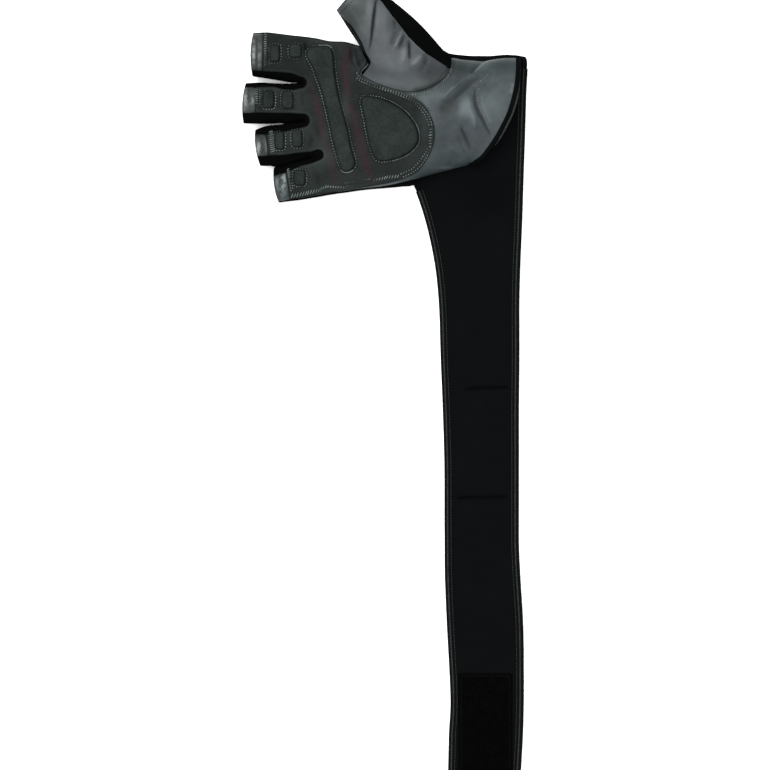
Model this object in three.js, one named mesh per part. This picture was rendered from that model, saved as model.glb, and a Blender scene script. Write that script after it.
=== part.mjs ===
// Half-finger weight-training glove for the right hand, lying palm up.
// Millimetres, +Z up. Fingers point to -X, the thumb to +Y, the wrist wrap runs to -Y.
// The origin is the bottom centre of the whole object's box.
import * as THREE from 'three';

// ---- driving dimensions -------------------------------------------------
const ORIGIN_X = 0.05, ORIGIN_Y = 0.22;   // shift that centres the box on the origin
const SIDE_REACH = 13;              // how far the rounded side runs in from the outline
const UNDER_REACH = 9;              // the same on the face that lies on the surface
const MID_HEIGHT = 9;               // height of the widest line of hand and stalls
const WRIST_MID_HEIGHT = 2.7;       // the same over the wrap, where leather meets it
const ARCH = 9.5;                   // rise of the palm face above the widest line
const PALM_CROWN = 3;               // further rise towards the middle of the palm
const TIP_BULGE = 1.4;              // how far a stall's open edge bows outwards
const LEATHER = 1.4, FABRIC = 1.2, SUEDE = 1.1, THUMB_WALL = 1.3;
const PAD_RISE = 1.6, PAD_EDGE = 0.8;
const GAP = 0.32;                   // air between touching pieces
const GUSSET_UNDER = 2.5;           // how far a gusset runs under a stall
const BAND = { index: 6.4, middle: 7.0, ring: 6.2, little: 7.4 };  // bare leather at the stall ends
const WRAP_THICK = 2.0, TAPE_WIDTH = 4.6, TAPE_THICK = 0.8;
const PATCH = { left: 47.9, right: 83, top: -190.6, bottom: -256.5, thick: 1.2 };
const ACROSS = [0, 0.07, 0.3, 0.7, 0.93, 1];   // lines along a stall, wall to wall

// ---- tables -------------------------------------------------------------
// Stalls: a row for each section from the open end to the crotch. up is the wall
// on the thumb's side, low the other; Seam is the leather's distance from the wall.
const INDEX_STALL = [
  { upX: -85.3, upY: 225.1, upSeam: 0.8, lowX: -85.8, lowY: 196.9, lowSeam: 3.6 },
  { upX: -75.8, upY: 225.5, upSeam: 0.8, lowX: -77.1, lowY: 195.6, lowSeam: 4.3 },
  { upX: -68.0, upY: 224.6, upSeam: 0.8, lowX: -69.3, lowY: 194.3, lowSeam: 5.2 },
  { upX: -60.2, upY: 223.6, upSeam: 0.8, lowX: -61.5, lowY: 193.1, lowSeam: 5.6 },
  { upX: -52.4, upY: 222.8, upSeam: 0.8, lowX: -54.2, lowY: 192.6, lowSeam: 3.8 },
];
const MIDDLE_STALL = [
  { upX: -90.1, upY: 192.5, upSeam: 2.9, lowX: -91.6, lowY: 166.3, lowSeam: 6.5 },
  { upX: -79.7, upY: 192.9, upSeam: 3.2, lowX: -82.3, lowY: 166.1, lowSeam: 6.9 },
  { upX: -70.6, upY: 192.4, upSeam: 2.7, lowX: -71.9, lowY: 166.2, lowSeam: 6.6 },
  { upX: -62.1, upY: 192.2, upSeam: 2.5, lowX: -61.5, lowY: 167.3, lowSeam: 5.6 },
  { upX: -54.2, upY: 192.6, upSeam: 2.4, lowX: -53.0, lowY: 168.0, lowSeam: 4.4 },
];
const RING_STALL = [
  { upX: -83.9, upY: 162.2, upSeam: 2.6, lowX: -80.7, lowY: 138.8, lowSeam: 6 },
  { upX: -76.4, upY: 164.9, upSeam: 4.0, lowX: -72.5, lowY: 138.8, lowSeam: 6.6 },
  { upX: -68.6, upY: 165.5, upSeam: 2.6, lowX: -64.7, lowY: 140.2, lowSeam: 5.6 },
  { upX: -60.8, upY: 166.3, upSeam: 2.5, lowX: -56.3, lowY: 142.6, lowSeam: 4.5 },
  { upX: -53.0, upY: 168.0, upSeam: 2.4, lowX: -47.8, lowY: 144.1, lowSeam: 3.8 },
];
const LITTLE_STALL = [
  { upX: -71.9, upY: 136.8, upSeam: 1.5, lowX: -68.7, lowY: 114.8, lowSeam: 0.8 },
  { upX: -65.4, upY: 138.2, upSeam: 1.3, lowX: -62.1, lowY: 115.8, lowSeam: 0.8 },
  { upX: -59.5, upY: 140.0, upSeam: 1.8, lowX: -56.3, lowY: 116.4, lowSeam: 0.8 },
  { upX: -53.7, upY: 142.1, upSeam: 2.2, lowX: -49.8, lowY: 117.5, lowSeam: 0.8 },
  { upX: -47.8, upY: 144.1, upSeam: 2.3, lowX: -42.6, lowY: 118.7, lowSeam: 0.8 },
];
// Palm: a row for each section from the crotches to the wrist edge.
const PALM_STATIONS = [
  { upX: -44.6, upY: 221.7, upSeam: 0.8, lowX: -33.5, lowY: 120.3, lowSeam: 0.8 },
  { upX: -35.5, upY: 219.8, upSeam: 0.8, lowX: -25.1, lowY: 121.4, lowSeam: 0.8 },
  { upX: -25.7, upY: 219.4, upSeam: 0.8, lowX: -17.3, lowY: 122.6, lowSeam: 0.8 },
  { upX: -16.6, upY: 216.9, upSeam: 0.8, lowX: -10.1, lowY: 123.4, lowSeam: 0.8 },
  { upX: -3.0, upY: 214.3, upSeam: 0.8, lowX: -3.0, lowY: 124.0, lowSeam: 0.9 },
  { upX: 10.0, upY: 212.8, upSeam: 0.8, lowX: 4.2, lowY: 124.6, lowSeam: 1.5 },
  { upX: 23.0, upY: 211.6, upSeam: 0.8, lowX: 11.3, lowY: 125.3, lowSeam: 2.3 },
  { upX: 34.1, upY: 210.7, upSeam: 0.8, lowX: 18.6, lowY: 126.2, lowSeam: 3.4 },
  { upX: 42.5, upY: 210.2, upSeam: 0.3, lowX: 25.0, lowY: 131.1, lowSeam: 0.5 },
  { upX: 49.0, upY: 208.6, upSeam: 0.4, lowX: 31.5, lowY: 133.0, lowSeam: 0.3 },
  { upX: 56.8, upY: 208.0, upSeam: 0.3, lowX: 38.0, lowY: 134.6, lowSeam: 0.3 },
  { upX: 64.0, upY: 207.5, upSeam: 0.3, lowX: 43.8, lowY: 136.3, lowSeam: 0.3 },
  { upX: 71.1, upY: 208.7, upSeam: 0.3, lowX: 48.4, lowY: 137.4, lowSeam: 0.3 },
  { upX: 78.3, upY: 209.5, upSeam: 0.3, lowX: 52.3, lowY: 138.4, lowSeam: 0.3 },
  { upX: 86.4, upY: 209.5, upSeam: 0.3, lowX: 55.5, lowY: 139.3, lowSeam: 0.3 },
];
// Free edge of the leather at the wrist.
const WRIST_EDGE = [
  { x: 86.4, y: 209.5 },
  { x: 86.4, y: 201.3 },
  { x: 85.7, y: 193.4 },
  { x: 84.6, y: 186.9 },
  { x: 82.8, y: 179.7 },
  { x: 80.6, y: 172.9 },
  { x: 77.6, y: 166.5 },
  { x: 74.4, y: 160.3 },
  { x: 71.1, y: 154.9 },
  { x: 67.3, y: 149.5 },
  { x: 62.7, y: 143.9 },
  { x: 55.5, y: 139.3 },
];
// Edge of the suede overlay, from the little finger round the heel to the thumb crotch.
const SUEDE_BORDER = [
  { x: -60.8, y: 117.5 },
  { x: -35.5, y: 121.8 },
  { x: -16.0, y: 125.0 },
  { x: 2.2, y: 128.1 },
  { x: 13.3, y: 131.1 },
  { x: 21.7, y: 135.7 },
  { x: 29.5, y: 146.7 },
  { x: 32.4, y: 157.1 },
  { x: 30.8, y: 168.8 },
  { x: 23.0, y: 179.6 },
  { x: 12.0, y: 185.1 },
  { x: -0.4, y: 189.2 },
  { x: -10.8, y: 193.3 },
  { x: -16.0, y: 197.9 },
];
// Stitched finger pads: rounded rectangles.
const FINGER_PADS = [
  { name: 'index_pad_outer', x0: -75.1, x1: -67.0, y0: 205.2, y1: 217.6 },
  { name: 'index_pad_inner', x0: -62.5, x1: -53.0, y0: 207.8, y1: 217.9 },
  { name: 'middle_pad_outer', x0: -79.7, x1: -70.6, y0: 175.3, y1: 187.7 },
  { name: 'middle_pad_inner', x0: -67.3, x1: -58.2, y0: 175.0, y1: 187.4 },
  { name: 'ring_pad_outer', x0: -71.9, x1: -64.1, y0: 148.7, y1: 161.0 },
  { name: 'ring_pad_inner', x0: -60.8, x1: -52.4, y0: 150.3, y1: 162.3 },
  { name: 'little_pad', x0: -59.5, x1: -50.4, y0: 125.3, y1: 136.3 },
];
// Long pad across the finger roots.
const KNUCKLE_PAD = [
  { y: 216.7, left: -47.6, right: -36.3 },
  { y: 213.0, left: -51.4, right: -32.6 },
  { y: 206.5, left: -49.5, right: -31.7 },
  { y: 198.1, left: -45.9, right: -30.8 },
  { y: 188.3, left: -42.3, right: -29.1 },
  { y: 177.9, left: -39.4, right: -26.9 },
  { y: 167.5, left: -36.9, right: -24.2 },
  { y: 157.1, left: -34.7, right: -22.0 },
  { y: 146.7, left: -32.0, right: -19.4 },
  { y: 139.6, left: -29.9, right: -17.9 },
  { y: 134.1, left: -26.1, right: -21.2 },
];
// D-shaped pad of the palm heel.
const HEEL_PAD = [
  { x: -14.7, y: 183.7 },
  { x: -4.3, y: 183.4 },
  { x: 6.1, y: 179.4 },
  { x: 15.2, y: 172.7 },
  { x: 21.7, y: 163.0 },
  { x: 22.4, y: 153.9 },
  { x: 15.9, y: 146.1 },
  { x: 5.5, y: 141.9 },
  { x: -4.9, y: 141.5 },
  { x: -9.5, y: 148.7 },
  { x: -12.1, y: 159.7 },
  { x: -14.4, y: 172.1 },
  { x: -16.0, y: 179.9 },
];
// Rim where the thumb stall joins the hand, round from the wrist side.
const THUMB_ROOT = [
  { x: 43.1, y: 206.1, seat: 'palm' },
  { x: 41.1, y: 198.7, seat: 'palm' },
  { x: 35.4, y: 193.5, seat: 'palm' },
  { x: 27.6, y: 189.2, seat: 'palm' },
  { x: 15.9, y: 186.8, seat: 'palm' },
  { x: 6.1, y: 188.4, seat: 'palm' },
  { x: -3.0, y: 191.5, seat: 'palm' },
  { x: -10.1, y: 194.8, seat: 'palm' },
  { x: -14.8, y: 198.8, seat: 'palm' },
  { x: -10.1, y: 203.9, seat: 'palm' },
  { x: -13.1, y: 209.8, seat: 'palm' },
  { x: -16.1, y: 216.1, seat: 'rim' },
  { x: -4.3, y: 214.2, seat: 'rim' },
  { x: 10.0, y: 212.6, seat: 'rim' },
  { x: 25.6, y: 211.2, seat: 'rim' },
  { x: 41.5, y: 210.9, seat: 'rim' },
];
// Thumb stall: a row for each section from the root to the open end.
// bow moves the middle towards the palm, seam angles split leather from fabric.
const THUMB_SECTIONS = [
  { leftX: -9.3, leftY: 206.2, leftZ: 20.5, rightX: 38.5, rightY: 212.9, rightZ: 12, top: 24.5, under: 9.3, bowTop: 14, bowUnder: -8.5 },
  { leftX: -13.4, leftY: 212.4, leftZ: 18.5, rightX: 31.1, rightY: 222.1, rightZ: 12.5, top: 26, under: 6.5, bowTop: 5, bowUnder: -4 },
  { leftX: -17.0, leftY: 217.9, leftZ: 16.5, rightX: 20.1, rightY: 233.5, rightZ: 13, top: 26, under: 4.5, bowTop: 1, bowUnder: 0 },
  { leftX: -24.0, leftY: 228.4, leftZ: 14.5, rightX: 3.8, rightY: 247.2, rightZ: 13, top: 25.5, under: 3.5, bowTop: 0, bowUnder: 0 },
  { leftX: -31.3, leftY: 239.6, leftZ: 14, rightX: -10.8, rightY: 262.4, rightZ: 14, top: 24.5, under: 4, bowTop: 0, bowUnder: 0 },
];
// Where the stall's leather meets its fabric: degrees round a section, evenly spaced from root to open end.
const SEAM_RIGHT = [13, 21, 36, 50, 59, 62.5, 60, 56, 48, 45, 47], SEAM_LEFT = [180, 180, 165, 154, 150, 176];
// Wrist wrap: a row for each section down its length.
const WRAP_STATIONS = [
  { y: 126.3, left: 19.2, right: 89.8 },
  { y: 114.2, left: 23.55, right: 89.45 },
  { y: 97.3, left: 28.45, right: 88.85 },
  { y: 73.9, left: 33.15, right: 87.85 },
  { y: 50.5, left: 35.55, right: 87.25 },
  { y: 15.4, left: 36.75, right: 87.25 },
  { y: -19.7, left: 38.15, right: 86.95 },
  { y: -54.8, left: 39.15, right: 86.95 },
  { y: -89.9, left: 39.25, right: 86.9 },
  { y: -107.7, left: 39.35, right: 86.95 },
  { y: -125.0, left: 39.45, right: 87.7 },
  { y: -160.1, left: 40.85, right: 89.75 },
  { y: -195.2, left: 42.75, right: 90.15 },
  { y: -212.1, left: 43.15, right: 90.05 },
  { y: -230.3, left: 42.15, right: 89.55 },
  { y: -262.8, left: 41.45, right: 87.75 },
];
// Seam under the hand where the back fabric ends and the wrap begins.
const WRAP_SEAM = [
  { x: 19.2, y: 126.3 }, { x: 23.7, y: 139.6 }, { x: 29.5, y: 159.1 },
  { x: 34.7, y: 178.6 }, { x: 38.6, y: 196.1 }, { x: 41.2, y: 212.2 },
];
// The wrap's end at the thumb's side of the wrist.
const WRAP_TOP = [
  { x: 45.8, y: 211.4 }, { x: 55.5, y: 210.5 }, { x: 68.5, y: 210.4 }, { x: 78.3, y: 211.3 },
  { x: 86.1, y: 210.9 }, { x: 91.8, y: 209.8 }, { x: 92.7, y: 207.6 }, { x: 91.9, y: 185 }, { x: 90.9, y: 155 },
];

// ---- small helpers ------------------------------------------------------
const lerp = (a, b, t) => a + (b - a) * t;
const clamp = (v, lo, hi) => Math.min(hi, Math.max(lo, v));
const smooth = (t) => { const s = clamp(t, 0, 1); return s * s * (3 - 2 * s); };
const bow = (t) => Math.sqrt(Math.max(0, 1 - (1 - Math.min(t, 1)) ** 2));
function spline(points, closed, n) {
  const c = new THREE.CatmullRomCurve3(points.map((p) => new THREE.Vector3(p.x, p.y, 0)), closed, 'centripetal');
  const q = c.getSpacedPoints(n);
  if (closed) q.pop();
  return q.map((v) => ({ x: v.x, y: v.y }));
}

// ---- outline ------------------------------------------------------------
const STALLS = [
  { name: 'index', rows: INDEX_STALL }, { name: 'middle', rows: MIDDLE_STALL },
  { name: 'ring', rows: RING_STALL }, { name: 'little', rows: LITTLE_STALL },
];
const up = (r) => ({ x: r.upX, y: r.upY, seam: r.upSeam });
const low = (r) => ({ x: r.lowX, y: r.lowY, seam: r.lowSeam });
const WALLS = [
  { slit: -1, line: [...INDEX_STALL.map(up), ...PALM_STATIONS.map(up)] },
  { slit: 0, line: INDEX_STALL.map(low) }, { slit: 0, line: MIDDLE_STALL.map(up) },
  { slit: 1, line: MIDDLE_STALL.map(low) }, { slit: 1, line: RING_STALL.map(up) },
  { slit: 2, line: RING_STALL.map(low) }, { slit: 2, line: LITTLE_STALL.map(up) },
  { slit: -1, line: [...LITTLE_STALL.map(low), ...PALM_STATIONS.map(low)] },
];
// The ring and little fingers' gusset ends in a tongue laid past the crotch.
const TONGUE = { line: [{ x: -47.8, y: 144.1, seam: 3.6 }, { x: -43.1, y: 145.7, seam: 3.3 }] };
function toLine(line, x, y) {
  let best = { d: Infinity, seam: 0 };
  for (let i = 0; i + 1 < line.length; i++) {
    const a = line[i], b = line[i + 1];
    const ux = b.x - a.x, uy = b.y - a.y;
    const t = clamp(((x - a.x) * ux + (y - a.y) * uy) / (ux * ux + uy * uy), 0, 1);
    const d = Math.hypot(x - a.x - t * ux, y - a.y - t * uy);
    if (d < best.d) best = { d, seam: a.seam === undefined ? 0 : lerp(a.seam, b.seam, t) };
  }
  return best;
}
function toPolygon(poly, x, y) {   // signed distance, positive inside
  let inside = false;
  for (let i = 0, j = poly.length - 1; i < poly.length; j = i++) {
    const a = poly[i], b = poly[j];
    if ((a.y > y) !== (b.y > y) && x < ((b.x - a.x) * (y - a.y)) / (b.y - a.y) + a.x) inside = !inside;
  }
  const d = toLine([...poly, poly[0]], x, y).d;
  return inside ? d : -d;
}
const toSide = (x, y) => Math.min(...WALLS.map((w) => toLine(w.line, x, y).d));
const toSlit = (k, x, y) => Math.min(...WALLS.filter((w) => w.slit === k).map((w) => toLine(w.line, x, y).d));
const leatherMargin = (x, y) => Math.min(...[...WALLS, TONGUE].map((w) => { const q = toLine(w.line, x, y); return q.d - q.seam; }));
function pastWrapSeam(x, y) {      // positive on the wrist's side of the seam
  const s = WRAP_SEAM;
  let i = 0;
  while (i < s.length - 2 && y > s[i + 1].y) i++;
  const t = (y - s[i].y) / (s[i + 1].y - s[i].y);
  return (x - lerp(s[i].x, s[i + 1].x, t)) * 0.965;
}

// ---- heights ------------------------------------------------------------
const midHeight = (x, y) => lerp(MID_HEIGHT, WRIST_MID_HEIGHT, smooth((pastWrapSeam(x, y) + 14) / 36));
const archAt = (x, y) => ARCH + 0.6 * (MID_HEIGHT - midHeight(x, y));
function topHeight(x, y, d = toSide(x, y)) {
  if (d < 1e-4) return midHeight(x, y);
  return midHeight(x, y) + archAt(x, y) * bow(d / SIDE_REACH) + PALM_CROWN * smooth((d - 9) / 24);
}
function underHeight(x, y, d = toSide(x, y)) {
  const m = midHeight(x, y);
  return d < 1e-4 ? m : m - m * bow(d / UNDER_REACH);
}
function slope(x, y) {             // unit direction away from the nearest side
  const e = 0.05;
  const gx = toSide(x + e, y) - toSide(x - e, y), gy = toSide(x, y + e) - toSide(x, y - e);
  const n = Math.hypot(gx, gy);
  return n < 1e-9 ? [0, 0] : [gx / n, gy / n];
}
function topNormal(x, y) {
  const d = toSide(x, y), g = slope(x, y), b = archAt(x, y);
  const h = Math.max(0, SIDE_REACH - d) / SIDE_REACH ** 2, v = bow(d / SIDE_REACH) / b;
  return new THREE.Vector3(-g[0] * h, -g[1] * h, d < 1e-4 ? 0 : v).normalize();
}
function underNormal(x, y) {
  const d = toSide(x, y), g = slope(x, y), m = midHeight(x, y);
  const h = Math.max(0, UNDER_REACH - d) / UNDER_REACH ** 2, v = bow(d / UNDER_REACH) / m;
  return new THREE.Vector3(-g[0] * h, -g[1] * h, d < 1e-4 ? 0 : -v).normalize();
}

// ---- flat net of the hand, cut along seams ------------------------------
function handNet() {
  const p = [], t = [], key = new Map();
  const put = (x, y) => {
    const k = `${Math.round(x * 1000)},${Math.round(y * 1000)}`;
    if (!key.has(k)) { key.set(k, p.length); p.push({ x, y }); }
    return key.get(k);
  };
  const quad = (a, b, c, d) => {   // counter-clockwise
    for (const f of [[a, b, c], [a, c, d]]) if (f[0] !== f[1] && f[1] !== f[2] && f[2] !== f[0]) t.push(f);
  };
  const crotch = [];
  for (const s of STALLS) {
    const grid = s.rows.map((r, i) => ACROSS.map((v) => put(
      lerp(r.upX, r.lowX, v) - (i === 0 ? TIP_BULGE * 4 * v * (1 - v) : 0), lerp(r.upY, r.lowY, v))));
    for (let i = 0; i + 1 < grid.length; i++) for (let j = 0; j + 1 < ACROSS.length; j++)
      quad(grid[i][j + 1], grid[i + 1][j + 1], grid[i + 1][j], grid[i][j]);
    for (const id of grid[grid.length - 1]) if (!crotch.includes(id)) crotch.push(id);
  }
  const n = crotch.length - 1, rows = PALM_STATIONS.length;
  const c0 = crotch.map((id) => p[id]);
  const len = [0];
  for (let j = 1; j <= n; j++) len.push(len[j - 1] + Math.hypot(c0[j].x - c0[j - 1].x, c0[j].y - c0[j - 1].y));
  const v0 = len.map((l) => l / len[n]);
  const along = (nodes, vs, v) => {
    let i = 0;
    while (i < nodes.length - 2 && v > vs[i + 1]) i++;
    const q = (v - vs[i]) / (vs[i + 1] - vs[i]);
    return { x: lerp(nodes[i].x, nodes[i + 1].x, q), y: lerp(nodes[i].y, nodes[i + 1].y, q) };
  };
  const wl = [0];
  for (let j = 1; j < WRIST_EDGE.length; j++) wl.push(wl[j - 1] + Math.hypot(WRIST_EDGE[j].x - WRIST_EDGE[j - 1].x, WRIST_EDGE[j].y - WRIST_EDGE[j - 1].y));
  const wv = wl.map((l) => l / wl[wl.length - 1]);
  let last = crotch;
  for (let k = 1; k <= rows; k++) {
    const u = k / rows, st = PALM_STATIONS[k - 1], end = PALM_STATIONS[rows - 1];
    const row = [];
    for (let j = 0; j <= n; j++) {
      const even = j / n - 0.05 * Math.sin((2 * Math.PI * j) / n);
      const v = lerp(v0[j], even, smooth(u / 0.25));
      const a = along(c0, v0, v), b = along(WRIST_EDGE, wv, v);
      const upX = st.upX - lerp(c0[0].x, end.upX, u), upY = st.upY - lerp(c0[0].y, end.upY, u);
      const lowX = st.lowX - lerp(c0[n].x, end.lowX, u), lowY = st.lowY - lerp(c0[n].y, end.lowY, u);
      row.push(put(lerp(a.x, b.x, u) + lerp(upX, lowX, v), lerp(a.y, b.y, u) + lerp(upY, lowY, v)));
    }
    for (let j = 0; j < n; j++) quad(last[j + 1], row[j + 1], row[j], last[j]);
    last = row;
  }
  return { p, t };
}
const SNAP = 0.7;
function split(net, f, keep = 0) {   // cuts the net along f = 0; keep 1 leaves f > 0, -1 leaves f < 0
  const p = net.p.map((q) => ({ ...q })), v = p.map((q) => f(q.x, q.y));
  p.forEach((q, i) => {
    if (Math.abs(v[i]) < SNAP) {
      if (!q.fixed && toSide(q.x, q.y) > 0.2) {
        const e = 0.02;
        for (let r = 0; r < 3; r++) {
          const s = f(q.x, q.y), gx = (f(q.x + e, q.y) - f(q.x - e, q.y)) / (2 * e), gy = (f(q.x, q.y + e) - f(q.x, q.y - e)) / (2 * e);
          const g = Math.max(gx * gx + gy * gy, 0.3);
          q.x -= clamp((s * gx) / g, -SNAP, SNAP); q.y -= clamp((s * gy) / g, -SNAP, SNAP);
        }
        q.fixed = true; v[i] = 0;
      } else if (Math.abs(v[i]) < 0.12) v[i] = 0;
    }
  });
  const mid = new Map(), t = [];
  const cross = (a, b) => {
    const k = a < b ? `${a},${b}` : `${b},${a}`;
    if (!mid.has(k)) {
      let A = a < b ? a : b, B = a < b ? b : a, lo = 0, hi = 1;
      for (let r = 0; r < 22; r++) {
        const m = (lo + hi) / 2, s = f(lerp(p[A].x, p[B].x, m), lerp(p[A].y, p[B].y, m));
        if ((s > 0) === (v[A] > 0)) lo = m; else hi = m;
      }
      mid.set(k, p.length);
      p.push({ x: lerp(p[A].x, p[B].x, lo), y: lerp(p[A].y, p[B].y, lo), fixed: true });
      v.push(0);
    }
    return mid.get(k);
  };
  for (const tri of net.t) {
    const s = tri.map((i) => Math.sign(v[i]));
    if (!(s.includes(1) && s.includes(-1))) { t.push(tri); continue; }
    const z = s.indexOf(0);
    if (z >= 0) {
      const [a, b, c] = [tri[z], tri[(z + 1) % 3], tri[(z + 2) % 3]], m = cross(b, c);
      t.push([a, b, m], [a, m, c]);
    } else {
      let o = 0;
      for (let i = 0; i < 3; i++) if (s[i] !== s[(i + 1) % 3] && s[i] !== s[(i + 2) % 3]) o = i;
      const [a, b, c] = [tri[o], tri[(o + 1) % 3], tri[(o + 2) % 3]], m = cross(a, b), w = cross(a, c);
      t.push([a, m, w]);
      if (Math.hypot(p[m].x - p[c].x, p[m].y - p[c].y) < Math.hypot(p[b].x - p[w].x, p[b].y - p[w].y)) t.push([m, b, c], [m, c, w]);
      else t.push([m, b, w], [b, c, w]);
    }
  }
  const kept = keep === 0 ? t : t.filter((tri) => {
    const sum = tri.reduce((a, i) => a + v[i], 0);
    if (Math.abs(sum) > 1e-9) return Math.sign(sum) === keep;
    const c = centre({ p }, tri);
    return Math.sign(f(c.x, c.y)) === keep;
  });
  return { p, t: kept };
}
const centre = (net, tri) => ({
  x: (net.p[tri[0]].x + net.p[tri[1]].x + net.p[tri[2]].x) / 3,
  y: (net.p[tri[0]].y + net.p[tri[1]].y + net.p[tri[2]].y) / 3,
});
const select = (net, test) => ({ p: net.p, t: net.t.filter((tri) => { const c = centre(net, tri); return test(c.x, c.y); }) });

// ---- a wall of even thickness from a surface ----------------------------
// faces: triangles of { x, y, z, n }, n the outward unit normal; inner points lie depth(point) below.
function wall(faces, thick, lift = 0) {
  const pos = [], key = new Map(), tri = [];
  const put = (q) => {
    const k = `${Math.round(q.x * 500)},${Math.round(q.y * 500)},${Math.round(q.z * 500)}`;
    if (!key.has(k)) { key.set(k, pos.length); pos.push(q); }
    return key.get(k);
  };
  for (const f of faces) {
    const id = f.map(put);
    if (id[0] !== id[1] && id[1] !== id[2] && id[2] !== id[0]) tri.push(id);
  }
  const n = pos.length, out = [];
  for (const q of pos) out.push(q.x + q.n.x * lift, q.y + q.n.y * lift, q.z + q.n.z * lift);
  for (const q of pos) {
    const t = typeof thick === 'function' ? thick(q) : thick;
    out.push(q.x + q.n.x * (lift - t), q.y + q.n.y * (lift - t), q.z + q.n.z * (lift - t));
  }
  const index = [], edges = new Map();
  for (const [a, b, c] of tri) {
    index.push(a, b, c, c + n, b + n, a + n);
    for (const [i, j] of [[a, b], [b, c], [c, a]]) {
      if (edges.has(`${j},${i}`)) edges.delete(`${j},${i}`); else edges.set(`${i},${j}`, [i, j]);
    }
  }
  for (const [i, j] of edges.values()) index.push(j, i, i + n, i + n, j + n, j);
  const g = new THREE.BufferGeometry();
  g.setAttribute('position', new THREE.Float32BufferAttribute(out, 3));
  g.setIndex(index);
  g.computeVertexNormals();
  return g;
}
const atTop = (net, tri) => tri.map((i) => { const { x, y } = net.p[i]; return { x, y, z: topHeight(x, y), n: topNormal(x, y) }; });
const atUnder = (net, tri) => [tri[0], tri[2], tri[1]].map((i) => { const { x, y } = net.p[i]; return { x, y, z: underHeight(x, y), n: underNormal(x, y) }; });
const onTop = (net) => net.t.map((tri) => atTop(net, tri));
const onUnder = (net) => net.t.map((tri) => atUnder(net, tri));

// ---- thumb --------------------------------------------------------------
// Its root follows the rim of the hole in the palm; seat says what each point stands on.
const rootPoint = (r) => new THREE.Vector3(r.x, r.y, r.seat === 'rim' ? midHeight(r.x, r.y) + 0.5 : topHeight(r.x, r.y) - 0.7);
const ROOT = new THREE.CatmullRomCurve3(THUMB_ROOT.map(rootPoint), true, 'centripetal');
const ROOT_CUT = THUMB_ROOT.map((r) => (r.seat === 'rim' ? { x: r.x, y: r.y + 6 } : { x: r.x, y: r.y }));
const inRoot = (x, y) => toPolygon(ROOT_CUT, x, y) + 0.9;
function thumbRing(s, phi) {
  const c = Math.cos(phi), w = Math.sin(phi);
  const mx = (s.leftX + s.rightX) / 2, my = (s.leftY + s.rightY) / 2, mz = (s.leftZ + s.rightZ) / 2;
  const hx = (s.rightX - s.leftX) / 2, hy = (s.rightY - s.leftY) / 2, hz = (s.rightZ - s.leftZ) / 2;
  const l = Math.hypot(hx, hy), px = hy / l, py = -hx / l;   // towards the palm
  const b = (w > 0 ? s.bowTop : s.bowUnder) * Math.abs(w) * 0.65;
  const rise = w > 0 ? (s.top - mz) * w : (mz - s.under) * w;
  return new THREE.Vector3(mx + hx * c + px * b, my + hy * c + py * b, mz + hz * c + rise);
}
const ROOT_LENGTHS = THUMB_ROOT.map((_, i) => i / THUMB_ROOT.length);
function thumbPoint(u, phi) {        // u 0 at the root .. number of sections at the open end
  const turn = ((phi / (2 * Math.PI)) % 1 + 1) % 1;
  const at = [ROOT.getPoint(turn), ...THUMB_SECTIONS.map((s) => thumbRing(s, phi))];
  const i = Math.min(at.length - 2, Math.floor(u)), f = u - i;
  const a = at[Math.max(0, i - 1)], b = at[i], c = at[i + 1], d = at[Math.min(at.length - 1, i + 2)];
  const m1 = c.clone().sub(i === 0 ? b : a).multiplyScalar(i === 0 ? 1 : 0.5), m2 = (i + 2 > at.length - 1 ? c.clone().sub(b) : d.clone().sub(b).multiplyScalar(0.5));
  const f2 = f * f, f3 = f2 * f;
  return b.clone().multiplyScalar(2 * f3 - 3 * f2 + 1).add(m1.multiplyScalar(f3 - 2 * f2 + f))
    .add(c.clone().multiplyScalar(3 * f2 - 2 * f3)).add(m2.multiplyScalar(f3 - f2));
}
function thumbPatch(from, to, around, steps) {   // from/to: seam angle in radians as functions of u
  const P = (u, s) => thumbPoint(u, lerp(from(u), to(u), s));
  const last = THUMB_SECTIONS.length, faces = [], grid = [];
  for (let i = 0; i <= steps; i++) {
    const row = [], u = (last * i) / steps;
    for (let j = 0; j <= around; j++) {
      const s = j / around, q = P(u, s), e = 0.02;
      const du = P(Math.min(last, u + e), s).sub(P(Math.max(0, u - e), s));
      const ds = P(u, Math.min(1, s + e)).sub(P(u, Math.max(0, s - e)));
      const n = du.cross(ds).normalize();
      row.push({ x: q.x, y: q.y, z: q.z, n });
    }
    grid.push(row);
  }
  for (let i = 0; i < steps; i++) for (let j = 0; j < around; j++) {
    const [a, b, c, d] = [grid[i][j], grid[i][j + 1], grid[i + 1][j + 1], grid[i + 1][j]];
    faces.push([a, c, b], [a, d, c]);
  }
  return faces;
}
const seamAngle = (v) => (u) => {           // v: degrees, evenly spaced from the root to the open end
  const t = (u * (v.length - 1)) / THUMB_SECTIONS.length, i = Math.min(v.length - 2, Math.floor(t));
  return (lerp(v[i], v[i + 1], t - i) * Math.PI) / 180;
};

// ---- materials ----------------------------------------------------------
const finish = (color, roughness, metalness = 0) => new THREE.MeshStandardMaterial({ color, roughness, metalness });
const smoothLeather = finish(0x5c6467, 0.45), suedeCloth = finish(0x32383a, 0.95), padSuede = finish(0x2f3736, 0.95);
const stretchFabric = finish(0x0b0c0d, 0.85), elastic = finish(0x121416, 0.8), tape = finish(0x1c1f20, 0.7), hook = finish(0x090909, 0.95);
const glove = new THREE.Group();
glove.position.set(ORIGIN_X, ORIGIN_Y, 0);
function add(name, geometry, material) {
  const mesh = new THREE.Mesh(geometry, material);
  mesh.name = name;
  glove.add(mesh);
  return mesh;
}

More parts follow.
